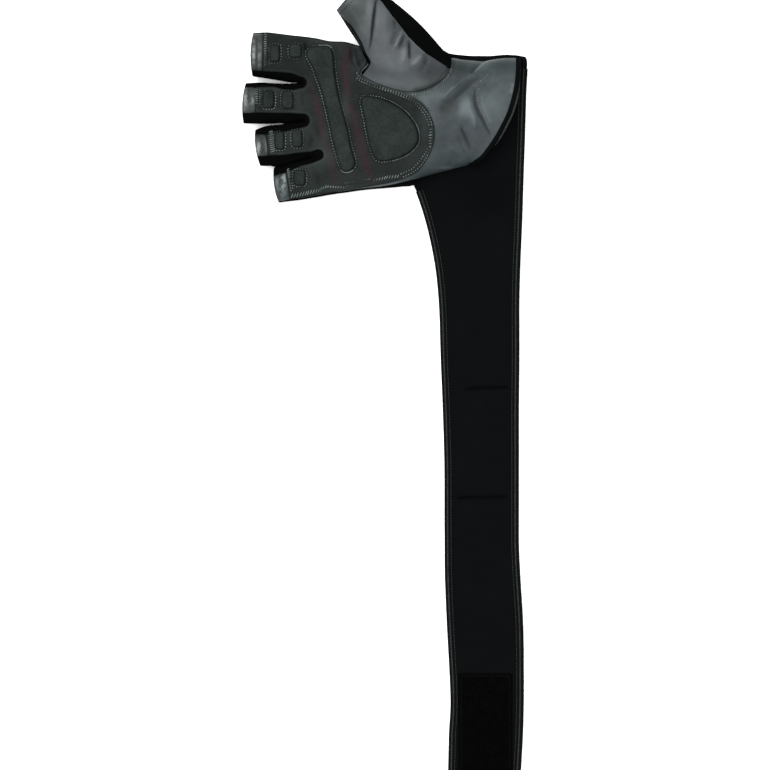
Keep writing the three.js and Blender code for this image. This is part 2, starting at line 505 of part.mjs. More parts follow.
// ---- hand: leather, fabric, gussets -------------------------------------
let net = handNet();
net = split(net, inRoot);
net = split(net, (x, y) => pastWrapSeam(x, y) + 0.2);
const openPalm = select(net, (x, y) => inRoot(x, y) < 0);
const border = spline(SUEDE_BORDER, false, 40);
const bandEnd = (x, y) => Math.min(...STALLS.map((s) => {
  const r = s.rows[0], q = s.rows[1];
  const ax = (q.upX + q.lowX - r.upX - r.lowX) / 2, ay = (q.upY + q.lowY - r.upY - r.lowY) / 2, l = Math.hypot(ax, ay);
  const ux = (r.lowY - r.upY), uy = -(r.lowX - r.upX), m = Math.hypot(ux, uy) * Math.sign(ux * ax + uy * ay);
  const across = Math.abs((x - (r.upX + r.lowX) / 2) * (-ay / l) + (y - (r.upY + r.lowY) / 2) * (ax / l));
  const along = (x - r.upX) * (ux / m) + (y - r.upY) * (uy / m);
  return across < 15.2 && along < 20 ? along - BAND[s.name] : 30;
}));
const suedeShape = [...border, { x: border[border.length - 1].x, y: border[border.length - 1].y + 1.5 }, { x: -10.6, y: 205.5 }, { x: -17.2, y: 222 }, { x: -120, y: 240 }, { x: -120, y: 100 }, { x: border[0].x, y: 100 }];
const suedeMargin = (x, y) => Math.min(toPolygon(suedeShape, x, y), bandEnd(x, y), leatherMargin(x, y) - 0.5, -inRoot(x, y) - 0.3);
const leatherNet = split(split(openPalm, (x, y) => leatherMargin(x, y) - GAP / 2, 1), suedeMargin);
add('palm_leather', wall(onTop(leatherNet), LEATHER), smoothLeather);

const under = select(net, (x, y) => pastWrapSeam(x, y) < -0.2);
const strips = select(split(openPalm, (x, y) => leatherMargin(x, y) + GAP / 2, -1), (x, y) => pastWrapSeam(x, y) < -0.2);
const nearestSlit = (x, y) => {
  let best = { slit: -1, d: Infinity };
  for (const w of WALLS) { const { d } = toLine(w.line, x, y); if (d < best.d - 1e-6) best = { slit: w.slit, d }; }
  return best.slit;
};
let backNet = under;
for (let k = 0; k < 3; k++) {
  const name = ['gusset_index_middle', 'gusset_middle_ring', 'gusset_ring_little'][k];
  const hem = split(under, (x, y) => GUSSET_UNDER - toSlit(k, x, y), 1);
  backNet = split(backNet, (x, y) => toSlit(k, x, y) - GUSSET_UNDER - GAP, 1);
  const face = select(strips, (x, y) => nearestSlit(x, y) === k);
  add(name, wall([...onTop(face), ...onUnder(hem)], FABRIC), stretchFabric);
}
const rim = select(strips, (x, y) => nearestSlit(x, y) === -1);
add('back_panel', wall([...onTop(rim), ...onUnder(backNet)], FABRIC), stretchFabric);

// ---- suede overlay and pads ---------------------------------------------
add('palm_suede', wall(onTop(select(leatherNet, (x, y) => suedeMargin(x, y) > 0)), SUEDE, GAP + SUEDE), suedeCloth);

function padGeometry(outline, rings) {     // outline counter-clockwise; crowned towards the middle
  const c = outline.reduce((a, q) => ({ x: a.x + q.x / outline.length, y: a.y + q.y / outline.length }), { x: 0, y: 0 });
  const at = (q) => ({ x: q.x, y: q.y, z: topHeight(q.x, q.y), n: topNormal(q.x, q.y), rise: q.rise });
  const faces = [], loop = (s, rise) => outline.map((q) => at({ x: lerp(c.x, q.x, s), y: lerp(c.y, q.y, s), rise }));
  let outer = loop(1, 0);
  for (let r = 1; r < rings; r++) {
    const inner = loop(1 - (r === 1 ? 0.14 : r / rings), 1);
    outer.forEach((q, i) => {
      const j = (i + 1) % outer.length;
      faces.push([outer[i], outer[j], inner[j]], [outer[i], inner[j], inner[i]]);
    });
    outer = inner;
  }
  const tip = at({ ...c, rise: 1 });
  outer.forEach((q, i) => faces.push([outer[i], outer[(i + 1) % outer.length], tip]));
  return raise(faces);
}
function raise(faces) {                    // a pad's under side follows the suede, its face stands proud
  const base = 2 * GAP + SUEDE + 0.5;
  const lifted = faces.map((f) => f.map((q) => {
    const h = base + PAD_EDGE + (PAD_RISE - PAD_EDGE) * q.rise;
    return { x: q.x + q.n.x * h, y: q.y + q.n.y * h, z: q.z + q.n.z * h, n: q.n, h: h - base };
  }));
  return wall(lifted, (q) => q.h);
}
for (const r of FINGER_PADS) {
  const cx = (r.x0 + r.x1) / 2, cy = (r.y0 + r.y1) / 2, hx = (r.x1 - r.x0) / 2, hy = (r.y1 - r.y0) / 2, out = [];
  for (let i = 0; i < 12; i++) {           // a rounded rectangle as a squared-off oval
    const a = ((i + 0.5) / 12) * 2 * Math.PI, c = Math.cos(a), s = Math.sin(a), k = 2 / 3.6;
    out.push({ x: cx + hx * Math.sign(c) * Math.abs(c) ** k, y: cy + hy * Math.sign(s) * Math.abs(s) ** k });
  }
  add(r.name, padGeometry(out, 2), padSuede);
}
const barOutline = [...KNUCKLE_PAD.map((r) => ({ x: r.left, y: r.y })), ...[...KNUCKLE_PAD].reverse().map((r) => ({ x: r.right, y: r.y }))];
{
  const faces = [], lines = [0, 0.12, 0.5, 0.88, 1];
  const rows = KNUCKLE_PAD.map((r, i) => lines.map((v, j) => {
    const x = lerp(r.left, r.right, v), y = r.y, edge = i === 0 || i === KNUCKLE_PAD.length - 1 || j === 0 || j === lines.length - 1;
    return { x, y, z: topHeight(x, y), n: topNormal(x, y), rise: edge ? 0 : 1 };
  }));
  for (let i = 0; i + 1 < rows.length; i++) for (let j = 0; j + 1 < lines.length; j++)
    faces.push([rows[i][j], rows[i + 1][j], rows[i + 1][j + 1]], [rows[i][j], rows[i + 1][j + 1], rows[i][j + 1]]);
  add('knuckle_pad', raise(faces), padSuede);
}
add('heel_pad', padGeometry(spline([...HEEL_PAD].reverse(), true, 28), 4), padSuede);

// ---- thumb stall --------------------------------------------------------
const right = seamAngle(SEAM_RIGHT), left = seamAngle(SEAM_LEFT), parting = 0.02;
const crotchParting = (u) => lerp(0.12, parting, smooth(u / 2));       // the seam opens where the stall folds at its crotch
const CROTCH = { x: -11, y: 203, reach: 14 };
const thumbWall = (q) => lerp(0.7, THUMB_WALL, smooth(Math.hypot(q.x - CROTCH.x, q.y - CROTCH.y) / CROTCH.reach));
add('thumb_leather', wall(thumbPatch((u) => right(u) + parting, (u) => left(u) - crotchParting(u), 10, 10), thumbWall), smoothLeather);
add('thumb_back', wall(thumbPatch((u) => left(u) + crotchParting(u), (u) => right(u) - parting + 2 * Math.PI, 10, 10), thumbWall), stretchFabric);

// ---- binding of the wrist edge ------------------------------------------
{
  const edge = spline(WRIST_EDGE, false, 26), faces = [];
  const rows = edge.map((q, i) => {
    const a = edge[Math.max(0, i - 1)], b = edge[Math.min(edge.length - 1, i + 1)], l = Math.hypot(b.x - a.x, b.y - a.y);
    const nx = -(b.y - a.y) / l, ny = (b.x - a.x) / l, s = nx > 0 ? 1 : -1;   // outwards
    const z = topHeight(q.x, q.y) + 0.5;
    return [GAP, GAP + 2.2].map((o) => ({ x: q.x + s * nx * o, y: q.y + s * ny * o, z: Math.max(z, 4.2), n: new THREE.Vector3(0, 0, 1) }));
  });
  for (let i = 0; i + 1 < rows.length; i++) {
    const [a, b] = rows[i], [c, e] = rows[i + 1];
    faces.push([a, e, b], [a, c, e]);
  }
  add('wrist_edge', wall(faces, (q) => Math.min(2.4, q.z - WRAP_THICK - GAP)), stretchFabric);
}

// ---- wrist wrap ---------------------------------------------------------
const edgeAt = (y, side) => {
  const s = WRAP_STATIONS;
  let i = 0;
  while (i < s.length - 2 && y < s[i + 1].y) i++;
  return lerp(s[i][side], s[i + 1][side], (y - s[i].y) / (s[i + 1].y - s[i].y));
};
function slab(points, from, thick) {
  const shape = new THREE.Shape(points.map((q) => new THREE.Vector2(q.x, q.y)));
  const g = new THREE.ExtrudeGeometry(shape, { depth: thick, bevelEnabled: false, steps: 1 });
  g.translate(0, 0, from);
  return g;
}
const wrapOutline = [
  ...WRAP_SEAM.map((q) => ({ x: q.x + 0.25, y: q.y })), ...WRAP_TOP,
  ...WRAP_STATIONS.map((r) => ({ x: r.right, y: r.y })),
  ...[...WRAP_STATIONS].reverse().slice(0, -1).map((r) => ({ x: r.left, y: r.y })),
];
add('wrist_wrap', slab(wrapOutline, 0, WRAP_THICK), elastic);
{
  const end = WRAP_STATIONS[WRAP_STATIONS.length - 1].y, w = TAPE_WIDTH;
  const rows = WRAP_STATIONS.filter((r) => r.y > end);
  const leftTop = { x: edgeAt(122, 'left'), y: 122 };
  const outer = [leftTop, ...rows.slice(1).map((r) => ({ x: r.left, y: r.y })), { x: WRAP_STATIONS.at(-1).left, y: end }, { x: WRAP_STATIONS.at(-1).right, y: end },
    ...[...rows].reverse().map((r) => ({ x: r.right, y: r.y })), { x: 91.3, y: 155 }, { x: 92.2, y: 185 }, { x: 92.7, y: 205 }];
  const inner = [{ x: 92.7 - 3.6, y: 205 }, { x: 92.2 - w, y: 185 }, { x: 91.3 - w, y: 155 }, ...rows.map((r) => ({ x: r.right - w, y: r.y })), { x: WRAP_STATIONS.at(-1).right - w, y: end + w },
    { x: WRAP_STATIONS.at(-1).left + w, y: end + w }, ...[...rows].reverse().slice(0, -1).map((r) => ({ x: r.left + w, y: r.y })), { x: leftTop.x + w, y: 122 }];
  add('wrap_binding', slab([...outer, ...inner], WRAP_THICK + GAP, TAPE_THICK), tape);
}
add('hook_patch', slab([
  { x: PATCH.left, y: PATCH.top }, { x: PATCH.right, y: PATCH.top }, { x: PATCH.right, y: PATCH.bottom }, { x: PATCH.left, y: PATCH.bottom },
], WRAP_THICK + GAP, PATCH.thick), hook);

export default glove;
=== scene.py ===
import math

import bpy
import numpy as np
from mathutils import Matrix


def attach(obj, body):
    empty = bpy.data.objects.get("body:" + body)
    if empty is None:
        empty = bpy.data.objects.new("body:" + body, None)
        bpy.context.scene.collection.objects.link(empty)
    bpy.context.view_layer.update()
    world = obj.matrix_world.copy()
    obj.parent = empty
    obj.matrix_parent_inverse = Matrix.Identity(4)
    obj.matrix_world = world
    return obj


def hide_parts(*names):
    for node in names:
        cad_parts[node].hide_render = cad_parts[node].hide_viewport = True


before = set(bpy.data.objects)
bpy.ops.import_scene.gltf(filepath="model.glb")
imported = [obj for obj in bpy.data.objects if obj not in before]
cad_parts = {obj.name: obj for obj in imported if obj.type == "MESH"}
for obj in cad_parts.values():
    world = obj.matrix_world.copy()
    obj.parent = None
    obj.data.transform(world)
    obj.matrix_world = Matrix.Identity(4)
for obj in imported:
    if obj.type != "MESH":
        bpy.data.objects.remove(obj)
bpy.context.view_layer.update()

# Half-finger training glove lying palm up. Lengths here are in millimetres, and
# become metres when a mesh is made.
OX, OY = 0.05, 0.22                  # shift that centres the object's box
SIDE_REACH, UNDER_REACH = 13.0, 9.0
MID_HEIGHT, WRIST_MID_HEIGHT = 9.0, 2.7
ARCH, PALM_CROWN, TIP_BULGE = 9.5, 3.0, 1.4
LEATHER, FABRIC, SUEDE, THUMB_WALL = 1.4, 1.2, 1.1, 1.3
WRAP_THICK = 2.0
BAND = {"index": 6.4, "middle": 7.0, "ring": 6.2, "little": 7.4}
STEP = 0.62                          # spacing of the hand's net


def px(x, y):
    """A place given in cells of 0.65 mm from the upper left, in millimetres."""
    return ((x - 384.6) * 0.65, (379.75 - y) * 0.65)


# Stall sections from the open end to the crotch.
# columns: up_x, up_y, up_seam, low_x, low_y, low_seam
INDEX_STALL = [
    (-85.3, 225.1, 0.8, -85.8, 196.9, 3.6),
    (-75.8, 225.5, 0.8, -77.1, 195.6, 4.3),
    (-68, 224.6, 0.8, -69.3, 194.3, 5.2),
    (-60.2, 223.6, 0.8, -61.5, 193.1, 5.6),
    (-52.4, 222.8, 0.8, -54.2, 192.6, 3.8),
]
# Stall sections from the open end to the crotch.
# columns: up_x, up_y, up_seam, low_x, low_y, low_seam
MIDDLE_STALL = [
    (-90.1, 192.5, 2.9, -91.6, 166.3, 6.5),
    (-79.7, 192.9, 3.2, -82.3, 166.1, 6.9),
    (-70.6, 192.4, 2.7, -71.9, 166.2, 6.6),
    (-62.1, 192.2, 2.5, -61.5, 167.3, 5.6),
    (-54.2, 192.6, 2.4, -53, 168, 4.4),
]
# Stall sections from the open end to the crotch.
# columns: up_x, up_y, up_seam, low_x, low_y, low_seam
RING_STALL = [
    (-83.9, 162.2, 2.6, -80.7, 138.8, 6),
    (-76.4, 164.9, 4, -72.5, 138.8, 6.6),
    (-68.6, 165.5, 2.6, -64.7, 140.2, 5.6),
    (-60.8, 166.3, 2.5, -56.3, 142.6, 4.5),
    (-53, 168, 2.4, -47.8, 144.1, 3.8),
]
# Stall sections from the open end to the crotch.
# columns: up_x, up_y, up_seam, low_x, low_y, low_seam
LITTLE_STALL = [
    (-71.9, 136.8, 1.5, -68.7, 114.8, 0.8),
    (-65.4, 138.2, 1.3, -62.1, 115.8, 0.8),
    (-59.5, 140, 1.8, -56.3, 116.4, 0.8),
    (-53.7, 142.1, 2.2, -49.8, 117.5, 0.8),
    (-47.8, 144.1, 2.3, -42.6, 118.7, 0.8),
]
# Palm sections from the crotches to the wrist edge.
# columns: up_x, up_y, up_seam, low_x, low_y, low_seam
PALM_STATIONS = [
    (-44.6, 221.7, 0.8, -33.5, 120.3, 0.8),
    (-35.5, 219.8, 0.8, -25.1, 121.4, 0.8),
    (-25.7, 219.4, 0.8, -17.3, 122.6, 0.8),
    (-16.6, 216.9, 0.8, -10.1, 123.4, 0.8),
    (-3, 214.3, 0.8, -3, 124, 0.9),
    (10, 212.8, 0.8, 4.2, 124.6, 1.5),
    (23, 211.6, 0.8, 11.3, 125.3, 2.3),
    (34.1, 210.7, 0.8, 18.6, 126.2, 3.4),
    (42.5, 210.2, 0.3, 25, 131.1, 0),
    (49, 208.6, 0, 31.5, 133, 0),
    (56.8, 208, 0, 38, 134.6, 0),
    (64, 207.5, 0, 43.8, 136.3, 0),
    (71.1, 208.7, 0, 48.4, 137.4, 0),
    (78.3, 209.5, 0, 52.3, 138.4, 0),
    (86.4, 209.5, 0, 55.5, 139.3, 0),
]
# Free edge of the leather at the wrist.
# columns: x, y
WRIST_EDGE = [
    (86.4, 209.5),
    (86.4, 201.3),
    (85.7, 193.4),
    (84.6, 186.9),
    (82.8, 179.7),
    (80.6, 172.9),
    (77.6, 166.5),
    (74.4, 160.3),
    (71.1, 154.9),
    (67.3, 149.5),
    (62.7, 143.9),
    (55.5, 139.3),
]
# Edge of the suede overlay, from the little finger round the heel to the thumb crotch.
# columns: x, y
SUEDE_BORDER = [
    (-60.8, 117.5),
    (-35.5, 121.8),
    (-16, 125),
    (2.2, 128.1),
    (13.3, 131.1),
    (21.7, 135.7),
    (29.5, 146.7),
    (32.4, 157.1),
    (30.8, 168.8),
    (23, 179.6),
    (12, 185.1),
    (-0.4, 189.2),
    (-10.8, 193.3),
    (-16, 197.9),
]
# Stitched finger pads.
# columns: name, x0, x1, y0, y1
FINGER_PADS = [
    ('index_pad_outer', -75.1, -67, 205.2, 217.6),
    ('index_pad_inner', -62.5, -53, 207.8, 217.9),
    ('middle_pad_outer', -79.7, -70.6, 175.3, 187.7),
    ('middle_pad_inner', -67.3, -58.2, 175, 187.4),
    ('ring_pad_outer', -71.9, -64.1, 148.7, 161),
    ('ring_pad_inner', -60.8, -52.4, 150.3, 162.3),
    ('little_pad', -59.5, -50.4, 125.3, 136.3),
]
# Long pad across the finger roots.
# columns: y, left, right
KNUCKLE_PAD = [
    (216.7, -47.6, -36.3),
    (213, -51.4, -32.6),
    (206.5, -49.5, -31.7),
    (198.1, -45.9, -30.8),
    (188.3, -42.3, -29.1),
    (177.9, -39.4, -26.9),
    (167.5, -36.9, -24.2),
    (157.1, -34.7, -22),
    (146.7, -32, -19.4),
    (139.6, -29.9, -17.9),
    (134.1, -26.1, -21.2),
]
# D-shaped pad of the palm heel.
# columns: x, y
HEEL_PAD = [
    (-14.7, 183.7),
    (-4.3, 183.4),
    (6.1, 179.4),
    (15.2, 172.7),
    (21.7, 163),
    (22.4, 153.9),
    (15.9, 146.1),
    (5.5, 141.9),
    (-4.9, 141.5),
    (-9.5, 148.7),
    (-12.1, 159.7),
    (-14.4, 172.1),
    (-16, 179.9),
]
# Rim where the thumb stall joins the hand, round from the wrist side.
# columns: x, y, seat
THUMB_ROOT = [
    (43.1, 206.1, 'palm'),
    (41.1, 198.7, 'palm'),
    (35.4, 193.5, 'palm'),
    (27.6, 189.2, 'palm'),
    (15.9, 186.8, 'palm'),
    (6.1, 188.4, 'palm'),
    (-3, 191.5, 'palm'),
    (-10.1, 194.8, 'palm'),
    (-14.8, 198.8, 'palm'),
    (-10.1, 203.9, 'palm'),
    (-13.1, 209.8, 'palm'),
    (-16.1, 216.1, 'rim'),
    (-4.3, 214.2, 'rim'),
    (10, 212.6, 'rim'),
    (25.6, 211.2, 'rim'),
    (41.5, 210.9, 'rim'),
]
# Thumb stall sections from the root to the open end.
# columns: left_x, left_y, left_z, right_x, right_y, right_z, top, under, bow_top, bow_under
THUMB_SECTIONS = [
    (-9.3, 206.2, 20.5, 38.5, 212.9, 12, 24.5, 9.3, 14, -8.5),
    (-13.4, 212.4, 18.5, 31.1, 222.1, 12.5, 26, 6.5, 5, -4),
    (-17, 217.9, 16.5, 20.1, 233.5, 13, 26, 4.5, 1, 0),
    (-24, 228.4, 14.5, 3.8, 247.2, 13, 25.5, 3.5, 0, 0),
    (-31.3, 239.6, 14, -10.8, 262.4, 14, 24.5, 4, 0, 0),
]
# Seam of the leather and the fabric: degrees round a section, evenly spaced from root to open end.
SEAM_RIGHT = [13, 21, 36, 50, 59, 62.5, 60, 56, 48, 45, 47]
SEAM_LEFT = [180, 180, 165, 154, 150, 176]
# Wrist wrap sections down its length.
# columns: y, left, right
WRAP_STATIONS = [
    (126.3, 19.2, 89.8),
    (114.2, 23.55, 89.45),
    (97.3, 28.45, 88.85),
    (73.9, 33.15, 87.85),
    (50.5, 35.55, 87.25),
    (15.4, 36.75, 87.25),
    (-19.7, 38.15, 86.95),
    (-54.8, 39.15, 86.95),
    (-89.9, 39.25, 86.9),
    (-107.7, 39.35, 86.95),
    (-125, 39.45, 87.7),
    (-160.1, 40.85, 89.75),
    (-195.2, 42.75, 90.15),
    (-212.1, 43.15, 90.05),
    (-230.3, 42.15, 89.55),
    (-262.8, 41.45, 87.75),
]
# Seam under the hand where the back fabric ends and the wrap begins.
WRAP_SEAM = [(19.2, 126.3), (23.7, 139.6), (29.5, 159.1), (34.7, 178.6), (38.6, 196.1), (41.2, 212.2)]
# The wrap's end at the thumb's side of the wrist.
WRAP_TOP = [(45.8, 211.4), (55.5, 210.5), (68.5, 210.4), (78.3, 211.3), (86.1, 210.9), (91.8, 209.8), (92.5, 207.6), (91.7, 185), (90.8, 155)]

# ---------------------------------------------------------------- numbers
def lerp(a, b, t):
    return a + (b - a) * t


def smooth(t):
    s = np.clip(t, 0, 1)
    return s * s * (3 - 2 * s)


def bow(t):
    return np.sqrt(np.maximum(0, 1 - (1 - np.minimum(t, 1)) ** 2))


def hash01(i, j, seed):
    h = (i.astype(np.int64) * 374761393 + j.astype(np.int64) * 668265263 + seed * 974634777) & 0xFFFFFFFF
    h = ((h ^ (h >> 13)) * 1274126177) & 0xFFFFFFFF
    return ((h ^ (h >> 16)) & 0xFFFFFF) / float(0xFFFFFF)


def noise(P, scale, seed=0):
    """Smooth noise from -1 to 1, one lump per scale millimetres."""
    q = np.asarray(P)[:, :2] / scale + 1000.0
    i = np.floor(q).astype(np.int64)
    f = q - i
    f = f * f * f * (f * (f * 6 - 15) + 10)
    a, b = hash01(i[:, 0], i[:, 1], seed), hash01(i[:, 0] + 1, i[:, 1], seed)
    c, d = hash01(i[:, 0], i[:, 1] + 1, seed), hash01(i[:, 0] + 1, i[:, 1] + 1, seed)
    return 2 * lerp(lerp(a, b, f[:, 0]), lerp(c, d, f[:, 0]), f[:, 1]) - 1


def spline(points, n=8, closed=False):
    """A smooth line through points, n steps to a span."""
    p = np.asarray(points, float)
    m = len(p)
    out = []
    for i in range(m if closed else m - 1):
        if closed:
            a, b, c, d = p[(i - 1) % m], p[i], p[(i + 1) % m], p[(i + 2) % m]
        else:
            b, c = p[i], p[i + 1]
            a = p[i - 1] if i else 2 * b - c
            d = p[i + 2] if i + 2 < m else 2 * c - b
        t0, t1, t2, t3 = 0.0, 0, 0, 0
        t1 = t0 + max(np.linalg.norm(b - a), 1e-6) ** 0.5
        t2 = t1 + max(np.linalg.norm(c - b), 1e-6) ** 0.5
        t3 = t2 + max(np.linalg.norm(d - c), 1e-6) ** 0.5
        for k in range(n):
            t = t1 + (t2 - t1) * k / n
            a1 = (t1 - t) / (t1 - t0) * a + (t - t0) / (t1 - t0) * b
            a2 = (t2 - t) / (t2 - t1) * b + (t - t1) / (t2 - t1) * c
            a3 = (t3 - t) / (t3 - t2) * c + (t - t2) / (t3 - t2) * d
            b1 = (t2 - t) / (t2 - t0) * a1 + (t - t0) / (t2 - t0) * a2
            b2 = (t3 - t) / (t3 - t1) * a2 + (t - t1) / (t3 - t1) * a3
            out.append((t2 - t) / (t2 - t1) * b1 + (t - t1) / (t2 - t1) * b2)
    if not closed:
        out.append(p[-1])
    return np.array(out)


def even(line, step, closed=False):
    """Points along a line at an even spacing close to step."""
    p = np.vstack([line, line[:1]]) if closed else np.asarray(line)
    s = np.concatenate([[0], np.cumsum(np.linalg.norm(np.diff(p, axis=0), axis=1))])
    n = max(2, int(round(s[-1] / step)))
    t = np.linspace(0, s[-1], n + 1)
    q = np.stack([np.interp(t, s, p[:, k]) for k in range(p.shape[1])], axis=1)
    return q[:-1] if closed else q


def to_line(line, P, extra=None, closed=False):
    """(distance, value of extra at the nearest point, arc length of the nearest point)."""
    L = np.vstack([line, line[:1]]) if closed else np.asarray(line)
    best = np.full(len(P), 1e9)
    val, arc, run = np.zeros(len(P)), np.zeros(len(P)), 0.0
    for i in range(len(L) - 1):
        u = L[i + 1] - L[i]
        l2 = float(u @ u)
        if l2 < 1e-12:
            continue
        t = np.clip(((P - L[i]) @ u) / l2, 0, 1)
        d = np.hypot(P[:, 0] - L[i, 0] - t * u[0], P[:, 1] - L[i, 1] - t * u[1])
        m = d < best
        best[m] = d[m]
        if extra is not None:
            val[m] = lerp(extra[i], extra[i + 1], t)[m]
        arc[m] = run + t[m] * math.sqrt(l2)
        run += math.sqrt(l2)
    return best, val, arc


def to_polygon(poly, P):
    """Signed distance to a closed outline, positive inside."""
    poly = np.asarray(poly)
    inside = np.zeros(len(P), bool)
    j = len(poly) - 1
    for i in range(len(poly)):
        a, b = poly[i], poly[j]
        if a[1] != b[1]:
            hit = ((a[1] > P[:, 1]) != (b[1] > P[:, 1])) & (P[:, 0] < (b[0] - a[0]) * (P[:, 1] - a[1]) / (b[1] - a[1]) + a[0])
            inside ^= hit
        j = i
    d = to_line(poly, P, closed=True)[0]
    return np.where(inside, d, -d)


# ---------------------------------------------------------------- outline
STALLS = [("index", INDEX_STALL), ("middle", MIDDLE_STALL), ("ring", RING_STALL), ("little", LITTLE_STALL)]


def wall_line(rows, low):
    c = 3 if low else 0
    pts = spline([(r[c], r[c + 1]) for r in rows], 3)
    seam = spline([(i, r[c + 2]) for i, r in enumerate(rows)], 3)[:, 1]
    return pts, seam


WALLS = []                            # (slit number or -1, line, seam distance)
for k, (name, rows) in enumerate(STALLS):
    up, low = wall_line(rows, False), wall_line(rows, True)
    if k == 0:
        q = wall_line(rows + PALM_STATIONS, False)
        WALLS.append((-1,) + q)
    else:
        WALLS.append((k - 1,) + up)
    if k == 3:
        q = wall_line(rows + PALM_STATIONS, True)
        WALLS.append((-1,) + q)
    else:
        WALLS.append((k,) + low)
# outline of the whole hand, round the stalls and the wrist edge
TIP = {name: [(lerp(r[0][0], r[0][3], v) - TIP_BULGE * 4 * v * (1 - v), lerp(r[0][1], r[0][4], v)) for v in (0.15, 0.3, 0.5, 0.7, 0.85)] for name, r in STALLS}
OUTLINE = []
for k, (name, rows) in enumerate(STALLS):
    up, low = WALLS[2 * k][1], WALLS[2 * k + 1][1]
    if k == 0:
        OUTLINE += [tuple(p) for p in up[::-1]]
    else:
        OUTLINE += [tuple(p) for p in up[::-1]][1:]
    OUTLINE += TIP[name]
    OUTLINE += [tuple(p) for p in low]
edge_of_wrist = spline(WRIST_EDGE, 4)
OUTLINE += [tuple(p) for p in edge_of_wrist[::-1][1:-1]]
OUTLINE = np.array(OUTLINE)


# the ring and little fingers' gusset ends in a tongue laid past the crotch: line and seam distance
TONGUE = (np.array([(-47.8, 144.1), (-43.1, 145.7)]), (3.6, 3.3))


def sides(P, full=False):
    """(distance to the nearest side wall, leather's margin inside its seam, slit of the nearest wall[, direction inwards])."""
    d, m, s = np.full(len(P), 1e9), np.full(len(P), 1e9), np.full(len(P), -1)
    near, inward = np.zeros((len(P), 2)), np.zeros((len(P), 2))
    for w, (slit, line, seam) in enumerate(WALLS):
        best, val = np.full(len(P), 1e9), np.zeros(len(P))
        for i in range(len(line) - 1):
            a, u = line[i], line[i + 1] - line[i]
            l2 = u @ u
            t = np.clip(((P - a) @ u) / l2, 0, 1)
            qx, qy = a[0] + t * u[0], a[1] + t * u[1]
            q = np.hypot(P[:, 0] - qx, P[:, 1] - qy)
            k = q < best
            best[k] = q[k]
            val[k] = lerp(seam[i], seam[i + 1], t)[k]
            if full:
                k = q < d
                n = np.array([u[1], -u[0]]) / math.sqrt(l2) * (1 if w % 2 == 0 else -1)
                near[k, 0], near[k, 1] = qx[k], qy[k]
                inward[k] = n
                s[k] = slit
                d[k] = q[k]
        if not full:
            s = np.where(best < d, slit, s)
            d = np.minimum(d, best)
        m = np.minimum(m, best - val)
    (a, e), (s0, s1) = TONGUE
    t = np.clip(((P - a) @ (e - a)) / ((e - a) @ (e - a)), 0, 1)
    m = np.minimum(m, np.linalg.norm(P - a - t[:, None] * (e - a), axis=1) - lerp(s0, s1, t))
    if not full:
        return d, m, s
    away = P - near
    l = np.hypot(away[:, 0], away[:, 1])
    g = np.where((l > 0.04)[:, None], away / np.maximum(l, 1e-9)[:, None], inward)
    return d, m, s, g


def to_side(P):
    return sides(P)[0]


WRAP_SEAM_A = np.array(WRAP_SEAM)


def past_seam(P):
    return (P[:, 0] - np.interp(P[:, 1], WRAP_SEAM_A[:, 1], WRAP_SEAM_A[:, 0])) * 0.965


def mid_height(P):
    return lerp(MID_HEIGHT, WRIST_MID_HEIGHT, smooth((past_seam(P) + 14) / 36))


def slope(P):
    return sides(P, True)[3]


def top_base(P, d=None, g=None):
    """Palm face without folds: (points, outward normals)."""
    d = to_side(P) if d is None else d
    g = slope(P) if g is None else g
    m = mid_height(P)
    b = ARCH + 0.6 * (MID_HEIGHT - m)
    z = m + b * bow(d / SIDE_REACH) + PALM_CROWN * smooth((d - 9) / 24)
    h = np.maximum(0, SIDE_REACH - d) / SIDE_REACH ** 2
    n = np.stack([-g[:, 0] * h, -g[:, 1] * h, bow(d / SIDE_REACH) / b], axis=1)
    n /= np.maximum(np.linalg.norm(n, axis=1), 1e-9)[:, None]
    return np.column_stack([P, z]), n


def under_base(P, d=None, g=None):
    d = to_side(P) if d is None else d
    g = slope(P) if g is None else g
    m = mid_height(P)
    z = m - m * bow(d / UNDER_REACH)
    h = np.maximum(0, UNDER_REACH - d) / UNDER_REACH ** 2
    n = np.stack([-g[:, 0] * h, -g[:, 1] * h, -bow(d / UNDER_REACH) / m], axis=1)
    n /= np.maximum(np.linalg.norm(n, axis=1), 1e-9)[:, None]
    return np.column_stack([P, z]), n


